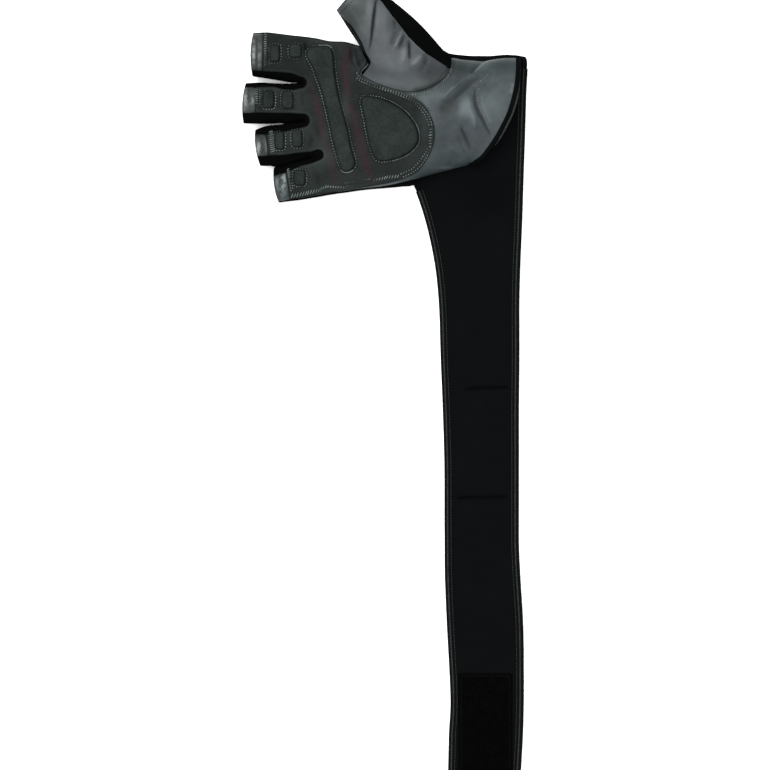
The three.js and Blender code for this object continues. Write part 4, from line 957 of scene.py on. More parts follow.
# ---------------------------------------------------------------- finishes
class Shade:
    """A material's nodes, with short names for the ones used here."""

    def __init__(self, name, roughness, specular, sheen=None, sheen_rough=0.5, coat=None):
        self.m = bpy.data.materials.new(name)
        self.m.use_nodes = True
        self.t = self.m.node_tree
        self.b = next(n for n in self.t.nodes if n.type == "BSDF_PRINCIPLED")
        self.b.inputs["Roughness"].default_value = roughness
        self.b.inputs["Specular IOR Level"].default_value = specular
        if sheen:
            self.b.inputs["Sheen Weight"].default_value = sheen
            self.b.inputs["Sheen Roughness"].default_value = sheen_rough
        self.place = self.t.nodes.new("ShaderNodeTexCoord").outputs["Object"]
        self.height = None

    def node(self, kind, **inputs):
        n = self.t.nodes.new(kind)
        for k, v in inputs.items():
            n.inputs[k.replace("_", " ")].default_value = v
        return n

    def link(self, a, b):
        self.t.links.new(a, b)

    def turned(self, degrees, scale=(1, 1, 1)):
        n = self.node("ShaderNodeMapping")
        n.inputs["Rotation"].default_value = (0, 0, math.radians(degrees))
        n.inputs["Scale"].default_value = scale
        self.link(self.place, n.inputs["Vector"])
        return n.outputs["Vector"]

    def noise(self, size, detail=3.0, rough=0.55, vector=None, distortion=0.0):
        n = self.node("ShaderNodeTexNoise", Scale=1000.0 / size, Detail=detail, Roughness=rough, Distortion=distortion)
        self.link(vector or self.place, n.inputs["Vector"])
        return n.outputs["Fac"]

    def cells(self, size, vector=None, feature="F1", random=1.0):
        n = self.node("ShaderNodeTexVoronoi", Scale=1000.0 / size, Randomness=random)
        n.feature = feature
        self.link(vector or self.place, n.inputs["Vector"])
        return n.outputs["Distance"]

    def bands(self, period, vector=None, direction="X", distortion=0.0, profile="SIN"):
        n = self.node("ShaderNodeTexWave", Scale=314.16 / period, Distortion=distortion, Detail=1.0)
        n.wave_type, n.bands_direction, n.wave_profile = "BANDS", direction, profile
        self.link(vector or self.place, n.inputs["Vector"])
        return n.outputs["Fac"]

    def attribute(self, name):
        n = self.node("ShaderNodeAttribute")
        n.attribute_name = name
        return n.outputs["Fac"]

    def map(self, value, a, b, c, d):
        n = self.node("ShaderNodeMapRange")
        n.inputs["From Min"].default_value, n.inputs["From Max"].default_value = a, b
        n.inputs["To Min"].default_value, n.inputs["To Max"].default_value = c, d
        self.link(value, n.inputs["Value"])
        return n.outputs["Result"]

    def math(self, op, a, b=None):
        n = self.node("ShaderNodeMath")
        n.operation = op
        for i, v in enumerate((a, b)):
            if v is None:
                continue
            if isinstance(v, (int, float)):
                n.inputs[i].default_value = v
            else:
                self.link(v, n.inputs[i])
        return n.outputs[0]

    def mix(self, fac, a, b, mode="MIX"):
        n = self.node("ShaderNodeMix")
        n.data_type, n.blend_type = "RGBA", mode
        for i, v in ((0, fac), (6, a), (7, b)):
            if isinstance(v, (int, float)):
                n.inputs[i].default_value = v
            elif isinstance(v, tuple):
                n.inputs[i].default_value = v + (1,)
            else:
                self.link(v, n.inputs[i])
        return n.outputs[2]

    def bump(self, value, distance, strength=1.0):
        n = self.node("ShaderNodeBump", Strength=strength, Distance=distance / 1000)
        self.link(value, n.inputs["Height"])
        if self.height is not None:
            self.link(self.height, n.inputs["Normal"])
        self.height = n.outputs["Normal"]

    def done(self, colour, roughness=None):
        self.link(colour, self.b.inputs["Base Color"])
        if roughness is not None:
            self.link(roughness, self.b.inputs["Roughness"])
        if self.height is not None:
            self.link(self.height, self.b.inputs["Normal"])
        return self.m


def tone(r, g, b):
    """A colour given as screen values from 0 to 255."""
    f = lambda v: v / 255 / 12.92 if v < 11 else ((v / 255 + 0.055) / 1.055) ** 2.4
    return (f(r), f(g), f(b))


def smooth_leather(name, cool, warm, dark, light, green=None):
    s = Shade(name, 0.5, 0.13)
    patch = s.noise(24, 2.5, 0.5)
    fine = s.noise(4.5, 4, 0.6)
    c = s.mix(s.map(patch, 0.36, 0.64, 0, 1), cool, warm)
    c = s.mix(s.map(s.noise(15, 2, 0.5), 0.42, 0.66, 0, 0.8), c, green or cool)
    c = s.mix(s.map(fine, 0.35, 0.75, 0, 0.3), c, dark)
    # painted highlight and painted shade: the per-vertex tone attribute pulls the colour towards light on crests and
    # towards dark in hollows; the band attribute gives the bare bands their own colour
    r, end = s.attribute("shading_tone"), s.attribute("band")
    c = s.mix(end, c, tone(43, 46, 44))
    c = s.mix(s.map(r, 0.0, 2.0, 0, 1.1), c, s.mix(end, light, tone(100, 104, 101)))
    c = s.mix(s.map(r, 0.0, -1.0, 0, 0.88), c, dark)
    grain = s.cells(0.75)
    creases = s.cells(2.6, feature="DISTANCE_TO_EDGE")
    s.bump(s.map(grain, 0.0, 0.7, 0, 1), 0.05, 0.5)
    s.bump(s.map(creases, 0.0, 0.12, 0, 1), 0.05, 0.35)
    s.bump(s.noise(9, 3), 0.3, 0.4)
    pore = s.mix(s.map(grain, 0.15, 0.55, 0.12, 0), c, dark)
    return s.done(pore, s.map(fine, 0.3, 0.7, 0.46, 0.58))


def napped(name, base, pale, deep, bright, maroon=None, nap=0.3):
    s = Shade(name, 0.95, 0.012)
    big, mid, fibre = s.noise(17, 3, 0.55), s.noise(2.2, 4, 0.65), s.noise(nap, 2, 0.6)
    c = s.mix(s.map(big, 0.36, 0.64, 0, 1), base, pale)
    c = s.mix(s.map(mid, 0.42, 0.75, 0, 0.55), c, deep)
    if maroon:
        t = s.attribute("tint")
        m = s.math("MULTIPLY", t, s.map(s.noise(2.6, 4, 0.7), 0.4, 0.6, 0.45, 1.0))
        c = s.mix(m, c, maroon)
    c = s.mix(s.map(fibre, 0.35, 0.7, 0, 0.5), c, deep)
    # painted highlight towards bright and painted shade towards near-black from the per-vertex tone attribute, then
    # painted shade along the stitch grooves
    r = s.attribute("shading_tone")
    c = s.mix(s.map(r, 0.0, 1.0, 0, 0.8), c, bright)
    c = s.mix(s.map(r, 0.0, -1.0, 0, 0.9), c, tone(6, 7, 7))
    c = s.mix(s.attribute("groove_shade"), c, tone(6, 7, 7))
    s.bump(fibre, 0.16, 0.9)
    s.bump(mid, 0.35, 0.5)
    return s.done(c, s.map(mid, 0.3, 0.7, 0.85, 0.97))


def knit(name, base, pale, wale=0.55, course=0.42, degrees=8):
    s = Shade(name, 0.92, 0.004)
    v = s.turned(degrees)
    a = s.bands(wale, v, "X", 0.4)
    b = s.bands(course, v, "Y", 0.6)
    weave = s.math("MULTIPLY", a, b)
    lint = s.noise(6, 4, 0.65)
    c = s.mix(s.map(weave, 0.15, 0.9, 0, 1), base, pale)
    c = s.mix(s.map(lint, 0.5, 0.8, 0, 0.5), c, pale)
    c = s.mix(s.attribute("worn"), c, tone(30, 32, 31))
    s.bump(weave, 0.1, 0.7)
    s.bump(s.noise(12, 2), 0.5, 0.4)
    return s.done(c, s.map(lint, 0.3, 0.7, 0.78, 0.95))


def webbing(name, base, pale, specular=0.004):
    s = Shade(name, 0.8, specular)
    v = s.turned(0)
    rib = s.bands(1.15, v, "Y", 0.25)
    cord = s.bands(0.8, v, "X", 0.5)
    weave = s.math("MAXIMUM", s.math("MULTIPLY", rib, 0.9), s.math("MULTIPLY", cord, 0.7))
    c = s.mix(s.map(weave, 0.3, 0.95, 0, 1), base, pale)
    worn = s.noise(22, 4, 0.6)
    c = s.mix(s.map(worn, 0.45, 0.75, 0, 0.6), c, pale)
    # painted shade in the creases, from the crease attribute
    c = s.mix(s.attribute("crease"), c, tone(1, 1, 1))
    s.bump(weave, 0.14, 0.7)
    s.bump(s.noise(0.35, 2), 0.05, 0.5)
    return s.done(c, s.map(worn, 0.3, 0.7, 0.7, 0.88))


def tape(name, base, pale, specular=0.006):
    s = Shade(name, 0.7, specular)
    rib = s.bands(0.55, s.turned(45), "X", 0.2)
    fluff = s.noise(3, 4, 0.6)
    c = s.mix(s.map(rib, 0.2, 0.9, 0, 1), base, pale)
    c = s.mix(s.map(fluff, 0.5, 0.8, 0, 0.4), c, pale)
    s.bump(rib, 0.07, 0.6)
    s.bump(s.noise(0.3, 2), 0.04, 0.5)
    return s.done(c, s.map(fluff, 0.3, 0.7, 0.6, 0.8))


def thread(name, base, pale, specular=0.2, lit=False):
    s = Shade(name, 0.55, specular)
    twist = s.bands(0.22, s.turned(30), "X", 0.3)
    fluff = s.noise(1.2, 3, 0.6)
    amount = s.math("ADD", s.map(fluff, 0.35, 0.65, -0.14, 0.14), s.attribute("bright")) if lit else s.map(fluff, 0.35, 0.65, 0, 1)
    c = s.mix(s.map(amount, 0, 1, 0, 1), base, pale)
    c = s.mix(s.map(twist, 0.0, 0.4, 0.3, 0), c, base)
    s.bump(twist, 0.04, 0.6)
    return s.done(c)


def hooks(name, base, pale):
    s = Shade(name, 0.7, 0.004)
    c = s.mix(s.map(s.noise(1.6, 3, 0.6), 0.35, 0.7, 0, 1), base, pale)
    s.bump(s.noise(0.25, 2), 0.04, 0.6)
    return s.done(c, s.map(s.noise(5, 3), 0.3, 0.7, 0.5, 0.75))


# the fourth colour of each leather, suede and pad finish is its painted highlight; each leather's third colour is both
# its dark mottle and its painted shade
LEATHER_M = smooth_leather("smooth_leather", tone(41, 48, 50), tone(44, 49, 52), tone(18, 22, 23), tone(88, 96, 98), tone(41, 49, 49))
THUMB_LEATHER_M = smooth_leather("thumb_leather", tone(43.5, 48, 49.5), tone(46, 48.5, 51), tone(20, 22.5, 23.5), tone(91, 95, 97), tone(43, 48.5, 48))
SUEDE_M = napped("suede", tone(26, 30, 29), tone(31, 34, 34), tone(14, 17, 16), tone(44, 49, 48), maroon=tone(46, 26, 32))
PAD_M = napped("pad_suede", tone(31, 36, 34), tone(35, 40, 38), tone(15, 18, 17), tone(42, 47, 45), nap=0.28)
KNIT_M = knit("stretch_fabric", tone(3, 3, 3), tone(7, 8, 8))
WEB_M = webbing("elastic", tone(5, 5, 6), tone(8, 9, 9.6))
TAPE_M = tape("edge_tape", tone(3, 3, 3), tone(7, 8, 8))
WRAP_TAPE_M = tape("wrap_edge_tape", tone(5, 5.5, 5.5), tone(13, 14, 14))
HOOK_M = hooks("hook", tone(1.5, 1.5, 1.5), tone(3.5, 3.5, 3.5))
THREAD_M = thread("thread", tone(30, 35, 34), tone(92, 102, 99), 0.08, lit=True)
ZIG_THREAD_M = thread("leather_zigzag_thread", tone(17, 19, 19), tone(30, 33, 33), 0.05)
DARK_THREAD_M = thread("dark_thread", tone(7, 8, 8), tone(12, 13, 13), 0.03)
# pale cords that stand in for painted highlights on the bindings
HIGHLIGHT_CORD_M = thread("highlight_cord_thread", tone(25, 27, 27), tone(42, 45, 44), 0.03)
GREY_THREAD_M = thread("leather_thread", tone(50, 56, 58), tone(90, 96, 98), 0.1)

# ---------------------------------------------------------------- hand nets
net = grid((-96, 108), (94, 232), STEP)


def soft_corners(poly, reach=1.25):
    """The outline with the corners of the stalls' open ends turned round."""
    poly = even(np.vstack([poly, poly[:1]]), 0.25)[:-1]
    n = len(poly)
    back, ahead = np.roll(poly, 3, 0), np.roll(poly, -3, 0)
    a, b = poly - back, ahead - poly
    turn = np.abs(np.arctan2(a[:, 0] * b[:, 1] - a[:, 1] * b[:, 0], (a * b).sum(1)))
    out = poly.copy()
    for i in np.where((turn > 0.9) & (poly[:, 0] < -62) & (turn >= np.maximum(np.roll(turn, 1), np.roll(turn, -1))))[0]:
        k = int(reach / 0.25)
        at = [(i + j) % n for j in range(-k, k + 1)]
        t = np.linspace(0, 1, 2 * k + 1)[:, None]
        out[at] = (1 - t) ** 2 * poly[at[0]] + 2 * t * (1 - t) * poly[i] + t ** 2 * poly[at[-1]]
    return out


SOFT_OUTLINE = soft_corners(np.asarray(OUTLINE))
net = split(net, lambda P: to_polygon(SOFT_OUTLINE, P), keep=1)
d, _, _, g = sides(net.P, True)
near = (d < 4) & (d > 1e-3)
net.P[near] -= g[near] * (d - 4 * (d / 4) ** 1.6)[near][:, None]
net = split(net, lambda P: in_root(P, 0.35))
net = split(net, lambda P: past_seam(P) + 0.2)
open_palm = net.pick(lambda P: in_root(P, 0.35) < 0)
margin_of = lambda P: sides(P)[1]
half_gap = lambda P: lerp(0.03, 0.12, smooth((P[:, 0] + 58) / 14))
leather_net = split(open_palm, lambda P: margin_of(P) - half_gap(P), 1)
strip_net = split(open_palm, lambda P: margin_of(P) + half_gap(P), -1).pick(lambda P: past_seam(P) < -0.2).tidy()
under_net = net.pick(lambda P: past_seam(P) < -0.2).tidy()
TIPS = [spline([(r[0][0], r[0][1])] + TIP[name] + [(r[0][3], r[0][4])], 4) for name, r in STALLS]


def to_tip(P):
    return np.minimum.reduce([to_line(t, P)[0] for t in TIPS])


def shell(parts, thick, thinner=None):
    """One closed wall from several patches: (base points, normals, lifts, inner lifts, triangles)."""
    base = np.vstack([p[0] for p in parts])
    nrm = np.vstack([p[1] for p in parts])
    lift = np.concatenate([p[2] for p in parts])
    deep = np.concatenate([p[3] for p in parts])
    T, n = [], 0
    for p in parts:
        T.append(p[4] + n)
        n += len(p[0])
    T = np.concatenate(T)
    key = np.round(base * 500).astype(np.int64)
    _, first, inv = np.unique(key, axis=0, return_index=True, return_inverse=True)
    inv = inv.reshape(-1)
    m = len(first)
    N = np.zeros((m, 3))
    np.add.at(N, inv, nrm)
    N /= np.maximum(np.linalg.norm(N, axis=1), 1e-9)[:, None]
    B, L, D = base[first], lift[first], deep[first]
    T = inv[T]
    T = T[(T[:, 0] != T[:, 1]) & (T[:, 1] != T[:, 2]) & (T[:, 2] != T[:, 0])]
    return closed_wall(B + N * L[:, None], B + N * (L - D)[:, None], T)


# ---------------------------------------------------------------- palm leather
def east_of_root(P):
    """1 where the thumb's joining seam is sunk into the leather, 0 where it lies over it."""
    return smooth((P[:, 0] - px(398, 0)[0]) / 10.4)


def leather_lift(face):
    P = face.P
    tip = to_tip(P)
    hem = 0.4 * smooth((6.2 - tip) / 1.2) - 0.7 * np.exp(-((tip / 0.55) ** 2))
    side = pinch(P, face.margin)
    hole = -0.55 * np.exp(-np.maximum(-in_root(P, 0.35), 0) / 0.8) * east_of_root(P)
    wrist = -0.3 * np.exp(-((to_line(edge_of_wrist, P)[0] / 0.8) ** 2))
    return hem + side + hole + wrist


lf = Palm(leather_net.P)
lift = leather_lift(lf)
tip = to_tip(leather_net.P)
thick = LEATHER + 0.5 * smooth((6.2 - tip) / 1.2) - 0.8 * np.exp(-((tip / 0.6) ** 2))
sm = suede_margin(leather_net.P)
# the leather lies a little lower under the overlay
lift = lift - 0.12 * smooth((sm + 0.2) / 0.4)
V, F, _ = closed_wall(lf.at(lift), lf.at(lift - thick), leather_net.T)
hole_d = np.maximum(-in_root(leather_net.P, 0.35), 0)
# painted shading: paler on the fold crests, darker in their hollows, round the thumb's root and along the side seams,
# with random tone
leather_shading = 0.45 * lf.folds + 0.14 * noise(leather_net.P, 13, 31) - 0.4 * np.exp(-hole_d / 1.5) * east_of_root(leather_net.P) - 0.25 * np.exp(-np.maximum(lf.margin, 0) / 1.2)
on_band = smooth((8.4 - tip) / 0.6) * (np.abs(leather_net.P[:, 0] + 76) < 24)
leather_shading = leather_shading * (1 - 0.7 * on_band)
leather_shading = leather_shading + on_band * (0.2 * noise(leather_net.P, 3, 36) + 0.12 * noise(leather_net.P, 1.4, 37) - 0.1)
# painted shade at the bands' open ends, beside the overlay's edge and along the side seams
leather_shading = leather_shading - on_band * (0.9 * np.exp(-((tip / 0.5) ** 2)) + 0.8 * np.exp(-((sm / 0.6) ** 2)) + 0.4 * np.exp(-np.maximum(lf.margin, 0) / 1.6))
east = east_of_root(leather_net.P)
below_crotch = smooth((px(0, 74)[1] - leather_net.P[:, 1]) / 1.5)
# painted shade under the thumb's crotch
leather_shading = leather_shading - 1.2 * np.exp(-((hole_d / 1.3) ** 2)) * (1 - east) * below_crotch
X, Y = leather_net.P[:, 0] / 0.65 + 384.6, 379.75 - leather_net.P[:, 1] / 0.65
# painted shade on the leather beside the overlay's edge near the thumb
leather_shading = leather_shading - 1.1 * np.exp(-(((sm + 0.4) / 0.6) ** 2)) * smooth((X - 398) / 5) * smooth((432 - X) / 5) * smooth((118 - Y) / 8)
# painted highlight and shade lines along the folds
leather_shading = leather_shading + 1.0 * folds(leather_net.P, HAND_HIGHLIGHT_SHADE, 0.16)


def glow(P, table):
    out = np.zeros(len(P))
    for x, y, rx, ry, h in table:
        out += h * np.exp(-(((P - px(x, y)) / [rx * 0.65, ry * 0.65]) ** 2).sum(1))
    return out


# painted highlights and shade on the leather: x, y, reach across, reach along, amount
PALM_SHADING = [
    (489, 103, 10, 12, 0.3), (500, 92, 12, 14, 0.12), (467.5, 103, 5, 8, -0.05), (462, 107, 6, 9, 0.25), (474, 121, 2.5, 9, 0.15), (461, 112, 5, 6, 0.2), (494, 107, 12, 12, 0.12), (495, 84, 14, 7, -0.1), (440, 97, 7, 7, 0.4), (426, 108, 8, 10, 0.25),
    (452, 103, 7, 7, -0.7), (446, 109, 8, 7, -0.35), (460, 70, 12, 9, -0.75), (466, 62, 12, 5, -0.12), (459, 84, 8, 5, -0.35), (500, 68, 18, 8, -0.4), (478, 75, 8, 4, -0.45), (484, 86, 5, 6, -0.2),
    (478, 158, 9, 9, -0.25), (446, 152, 14, 14, -0.34), (460, 134, 4, 10, -0.2), (481, 135, 8, 12, -0.3), (474, 146, 7, 9, -0.3), (448, 117, 9, 10, -0.2), (440, 130, 10, 16, -0.05),
    (400, 186, 16, 6, -0.1), (448, 168.5, 12, 2, 0.6),
]
# light and shade along the bare bands at the open ends
BAND_SHADING = [
    (254.1, 54, 1.7, 11, 1.8), (259.4, 57, 2.0, 13, 0.75), (256.6, 56, 0.8, 13, -0.5), (257, 36, 6, 4.5, -0.6), (258, 70, 6, 2.5, -0.5),
    (245.6, 103, 2.2, 10, 1.6), (246.5, 93, 2.6, 5, 0.7), (252.8, 100.5, 1.5, 4, 1.2), (251.5, 108, 2.2, 7, 0.4), (249, 96, 1.6, 6, -0.45), (250, 88, 5, 2, -0.5),
    (258.6, 148, 2.4, 6, 1.9), (257.8, 156, 2, 5, 0.5), (266.6, 146, 1.2, 9, 0.9), (262, 146, 1.5, 7, -0.35), (260, 137, 6, 3, -0.5),
    (284.6, 177, 2.0, 7, 2.0), (283.2, 187, 3.0, 8, 2.0), (277.3, 185, 1.4, 7, 0.9), (280.2, 190, 1.0, 5, -0.3), (280, 172, 3.5, 3, -0.4),
]
leather_shading = leather_shading + glow(leather_net.P, PALM_SHADING)
# ragged breaks up the bands' painted highlights; painted highlights above 1 are eased
ragged = np.clip(0.85 + 0.75 * noise(leather_net.P, 1.7, 38) + 0.3 * noise(leather_net.P, 4, 39), 0.15, 1.7)
leather_shading = np.where(leather_shading > 1, 1 + 0.4 * (leather_shading - 1), leather_shading) + on_band * glow(leather_net.P, BAND_SHADING) * ragged
of_band = on_band * np.where(leather_net.P[:, 1] > 196, 1, np.where(leather_net.P[:, 1] > 140, 0.75, 0.25))
leather = piece(make("palm_leather_shell", V, F, LEATHER_M, attributes={"shading_tone": np.concatenate([leather_shading, leather_shading]), "band": np.concatenate([of_band, of_band])}), "smooth_leather", "palm_leather")

# ---------------------------------------------------------------- suede overlay
suede_net = split(leather_net, suede_margin, 1)
sf = Palm(suede_net.P)
top_lift = suede_top(sf)
V, F, _ = closed_wall(sf.at(top_lift), sf.at(np.full(len(top_lift), 0.06)), suede_net.T)
MAROON = [
    ([(347, 52), (345.5, 66), (345, 80), (348, 95), (351, 110), (354, 118), (356, 128), (360, 140), (362, 150), (368, 170), (371, 180)], 2.6),
    ([(309, 82), (312, 92), (317, 105), (319, 115), (321, 130), (328, 155), (331, 163), (333, 175), (335, 189)], 2.3),
]


def tint(P):
    out = np.zeros(len(P))
    for pts, w in MAROON:
        d, _, arc = to_line(spline([px(*q) for q in pts], 5), P)
        w = w * (1 + 0.25 * noise(P, 9, 41))
        out = np.maximum(out, np.exp(-((d / w) ** 2)) * (0.58 + 0.42 * noise(P, 7, 42)))
    return np.clip(out, 0, 1)


t = tint(suede_net.P)
# painted shade along the stitch grooves
groove_shading = np.clip(groove_field(suede_net.P) * 0.6, 0, 0.9)
# paler and darker patches on the suede, with a painted highlight on the rim at the thumb's crotch: x, y, reach across,
# reach along, amount
SUEDE_TONE_AND_SHADING = [
    (338, 190, 26, 6, 0.3), (300, 130, 12, 20, 0.3), (308, 165, 14, 14, 0.25), (322, 148, 13, 22, 0.5), (300, 100, 10, 14, 0.2), (425, 140, 5, 40, 0.3), (350, 190, 14, 5, 0.3), (372, 183, 22, 8, 0.25),
    (344, 112, 6, 20, 1.1), (357.5, 48.6, 2.6, 1.5, 0.9), (285, 45, 18, 12, -0.15), (300, 60, 14, 18, -0.2), (330, 110, 7, 40, -0.05), (355, 66, 7, 9, 0.2), (345, 177, 18, 6, 0.15), (326, 44, 14, 4, 0.2), (372, 90, 10, 5, -0.1), (268, 60, 8, 18, -0.1), (280, 100, 16, 14, 0.1),
]
# painted shading from the hand's folds and the crotch puckers, with patches and random tone
suede_shading = 0.9 * folds(suede_net.P, HAND_FOLDS) + 0.9 * folds(suede_net.P, SUEDE_HIGHLIGHT_SHADE, 0.3) + glow(suede_net.P, SUEDE_TONE_AND_SHADING) + 0.14 * noise(suede_net.P, 9, 41)
rim = np.maximum(suede_margin(suede_net.P), 0)
# painted shade along the overlay's edge and where it meets the bands, with a painted highlight on its rounded rim
suede_shading = suede_shading - 0.7 * np.exp(-((rim / 0.45) ** 2)) + 0.28 * np.exp(-(((rim - 1.3) / 0.6) ** 2)) - 0.5 * np.exp(-((to_tip(suede_net.P) - 6.9) / 0.9) ** 2) * (np.abs(suede_net.P[:, 0] + 76) < 24)
suede = piece(make("palm_suede_overlay", V, F, SUEDE_M, attributes={"tint": np.concatenate([t, t]), "groove_shade": np.concatenate([groove_shading, groove_shading]), "shading_tone": np.concatenate([suede_shading, suede_shading])}), "suede", "palm_suede")


# ---------------------------------------------------------------- pads
# paler and darker patches on the pads: x, y, reach across, reach along, amount
PAD_TONE_PATCHES = [(270, 97, 6, 7, -0.35), (274, 55, 5, 8, -0.1), (320, 60, 9, 9, -0.08), (386, 135, 16, 18, 0.1), (345, 150, 8, 12, 0.1)]


def pad_piece(name, inset, rise, edge, width, seed):
    line = PADS[name]
    lo, hi = line.min(0) - 1, line.max(0) + 1
    patch = split(grid(lo, hi, 0.6), lambda P: to_polygon(line, P) - inset, 1, h=0.6)
    f = Palm(patch.P)
    dist = np.maximum(to_polygon(line, patch.P) - inset, 0)
    s = suede_top(f)
    puff = np.sqrt(np.maximum(0, 1 - (1 - np.clip(dist / width, 0, 1)) ** 2))
    crown = smooth(dist / max(dist.max(), 1e-3))
    up = s + edge + (rise - edge) * (0.8 * puff + 0.2 * crown) + 0.07 * noise(patch.P, 3.4, seed) + 0.035 * noise(patch.P, 1.3, seed + 1)
    V, F, _ = closed_wall(f.at(up), f.at(s + 0.03), patch.T)
    small = "_pad_" in name or name == "little_pad"
    inward = np.stack([to_polygon(line, patch.P + e) - to_polygon(line, patch.P - e) for e in np.eye(2) * 0.3], 1) / 0.6
    # painted shade just inside the stitching, strongest on the right, the side away from the lamps
    unlit_side = np.clip(-inward[:, 0] * (0.9 if small else 0.97) + inward[:, 1] * (0.4 if small else -0.1), 0, 1)
    patchy = 1 + 0.55 * noise(patch.P, 3.4, seed + 5)
    groove_shading = (0.3 + 0.42 * unlit_side * patchy) * np.exp(-((dist / 0.45) ** 2)) + (0.1 + 0.42 * unlit_side * patchy) * np.exp(-((dist / (1.0 if small else 1.25)) ** 2))
    groove_shading = np.clip(groove_shading, 0, 1)
    pad_tone = 0.16 * noise(patch.P, 6, 47) + (-0.08 if small else -0.05) + glow(patch.P, PAD_TONE_PATCHES)
    o = piece(make(name + "_quilted", V, F, PAD_M, attributes={"groove_shade": np.concatenate([groove_shading, groove_shading]), "shading_tone": np.concatenate([pad_tone, pad_tone])}), "pad_suede", name)
    return o


pads = [pad_piece("knuckle_pad", 0.9, 1.35, 0.25, 2.2, 50), pad_piece("heel_pad", 0.9, 1.6, 0.25, 2.6, 60)]
for i, (name, x0, x1, y0, y1) in enumerate(FINGER_PADS):
    pads.append(pad_piece(name, 0.85, 1.05, 0.22, 1.5, 70 + 3 * i))


# ---------------------------------------------------------------- stretch fabric
def under_face(P):
    d, _, _, g = sides(P, True)
    d = np.where(d < 2e-3, 0, d)
    b, n = under_base(P, d, g)
    return b, n, d


def to_slit(k, P):
    return np.minimum.reduce([to_line(line, P)[0] for slit, line, _ in WALLS if slit == k])


def slit_fill(k, P, d):
    """How far a gusset's walls bulge into the slit, so that they meet past a place."""
    if k < 0:
        return np.zeros(len(P))
    lines = [line for slit, line, _ in WALLS if slit == k]
    gap = np.maximum.reduce([to_line(line, P)[0] for line in lines])
    start = {0: -54.8, 1: -67.8, 2: -74.0}[k]
    return np.clip(gap / 2 + 0.03, 0, 1.3) * smooth((P[:, 0] - start) / 3.5) * np.exp(-((d / 1.6) ** 2))


def fabric_piece(name, node, strips, sheet, k=-1):
    a = Palm(strips.P)
    la = -0.35 * np.exp(-np.maximum(-a.margin, 0) / 0.6) + 0.05 * noise(strips.P, 3.0, 81)
    tip = to_tip(strips.P)
    la = la - 0.35 * np.exp(-((tip / 0.5) ** 2))
    la *= smooth(a.d / 0.6)
    la += slit_fill(k, strips.P, a.d)
    b, n, d = under_face(sheet.P)
    tipb = to_tip(sheet.P)
    lb = (-0.3 * np.exp(-((tipb / 0.5) ** 2)) - 0.25 * np.abs(noise(sheet.P, 6.5, 82)) * smooth((d - 3) / 4)) * smooth(d / 0.6)
    lb += slit_fill(k, sheet.P, d)
    V, F, _ = shell([
        (a.base, a.n, la, np.full(len(la), FABRIC), strips.T),
        (b, n, lb, np.full(len(lb), FABRIC), sheet.T[:, ::-1]),
    ], FABRIC)
    return piece(make(name, V, F, KNIT_M), "stretch_fabric", node)


back_sheet = under_net
fabrics = []
for k, node in enumerate(["gusset_index_middle", "gusset_middle_ring", "gusset_ring_little"]):
    hem = split(under_net, lambda P: 2.64 - to_slit(k, P), 1)
    back_sheet = split(back_sheet, lambda P: to_slit(k, P) - 2.66, 1)
    S = strip_net.T
    c = strip_net.P[S].mean(1)
    own = sides(c)[2] == k
    face = Net(strip_net.P, S[own], strip_net.fixed).tidy()
    fabrics.append(fabric_piece(node + "_knit", node, face, hem, k))
own = sides(strip_net.P[strip_net.T].mean(1))[2] == -1
fabrics.append(fabric_piece("back_panel_knit", "back_panel", Net(strip_net.P, strip_net.T[own], strip_net.fixed).tidy(), back_sheet))

# ---------------------------------------------------------------- thumb stall
root_plan = np.array([(r[0], r[1]) for r in THUMB_ROOT])
rp = Palm(root_plan)
ROOT3 = np.column_stack([root_plan, [mid_height(root_plan[i:i + 1])[0] + 0.5 if THUMB_ROOT[i][2] == "rim" else rp.base[i, 2] - 0.7 for i in range(len(root_plan))]])
COL = {k: np.array([s[i] for s in THUMB_SECTIONS], float) for i, k in enumerate(["lx", "ly", "lz", "rx", "ry", "rz", "top", "under", "bt", "bu"])}
LAST = len(THUMB_SECTIONS)


def root_at(turn):
    n = len(ROOT3)
    q = (turn % 1.0) * n
    i = np.floor(q).astype(int) % n
    w = (q - np.floor(q))[:, None]
    p = [ROOT3[(i + k) % n] for k in (-1, 0, 1, 2)]
    d = [np.maximum(np.linalg.norm(p[k + 1] - p[k], axis=1), 1e-6)[:, None] ** 0.5 for k in range(3)]
    t1 = ((p[1] - p[0]) / d[0] - (p[2] - p[0]) / (d[0] + d[1]) + (p[2] - p[1]) / d[1]) * d[1]
    t2 = ((p[2] - p[1]) / d[1] - (p[3] - p[1]) / (d[1] + d[2]) + (p[3] - p[2]) / d[2]) * d[1]
    return p[1] + t1 * w + (-3 * p[1] + 3 * p[2] - 2 * t1 - t2) * w ** 2 + (2 * p[1] - 2 * p[2] + t1 + t2) * w ** 3


def thumb_rings(phi):
    """Stations of the stall at the angles phi: an array of root and sections."""
    out = [root_at(phi / (2 * math.pi))]
    c, w = np.cos(phi), np.sin(phi)
    for i in range(LAST):
        g = {k: v[i] for k, v in COL.items()}
        m = np.array([g["lx"] + g["rx"], g["ly"] + g["ry"], g["lz"] + g["rz"]]) / 2
        h = np.array([g["rx"] - g["lx"], g["ry"] - g["ly"], g["rz"] - g["lz"]]) / 2
        l = math.hypot(h[0], h[1])
        b = np.where(w > 0, g["bt"], g["bu"]) * np.abs(w) * 0.65
        rise = np.where(w > 0, (g["top"] - m[2]) * w, (m[2] - g["under"]) * w)
        out.append(np.column_stack([m[0] + h[0] * c + h[1] / l * b, m[1] + h[1] * c - h[0] / l * b, m[2] + h[2] * c + rise]))
    return out


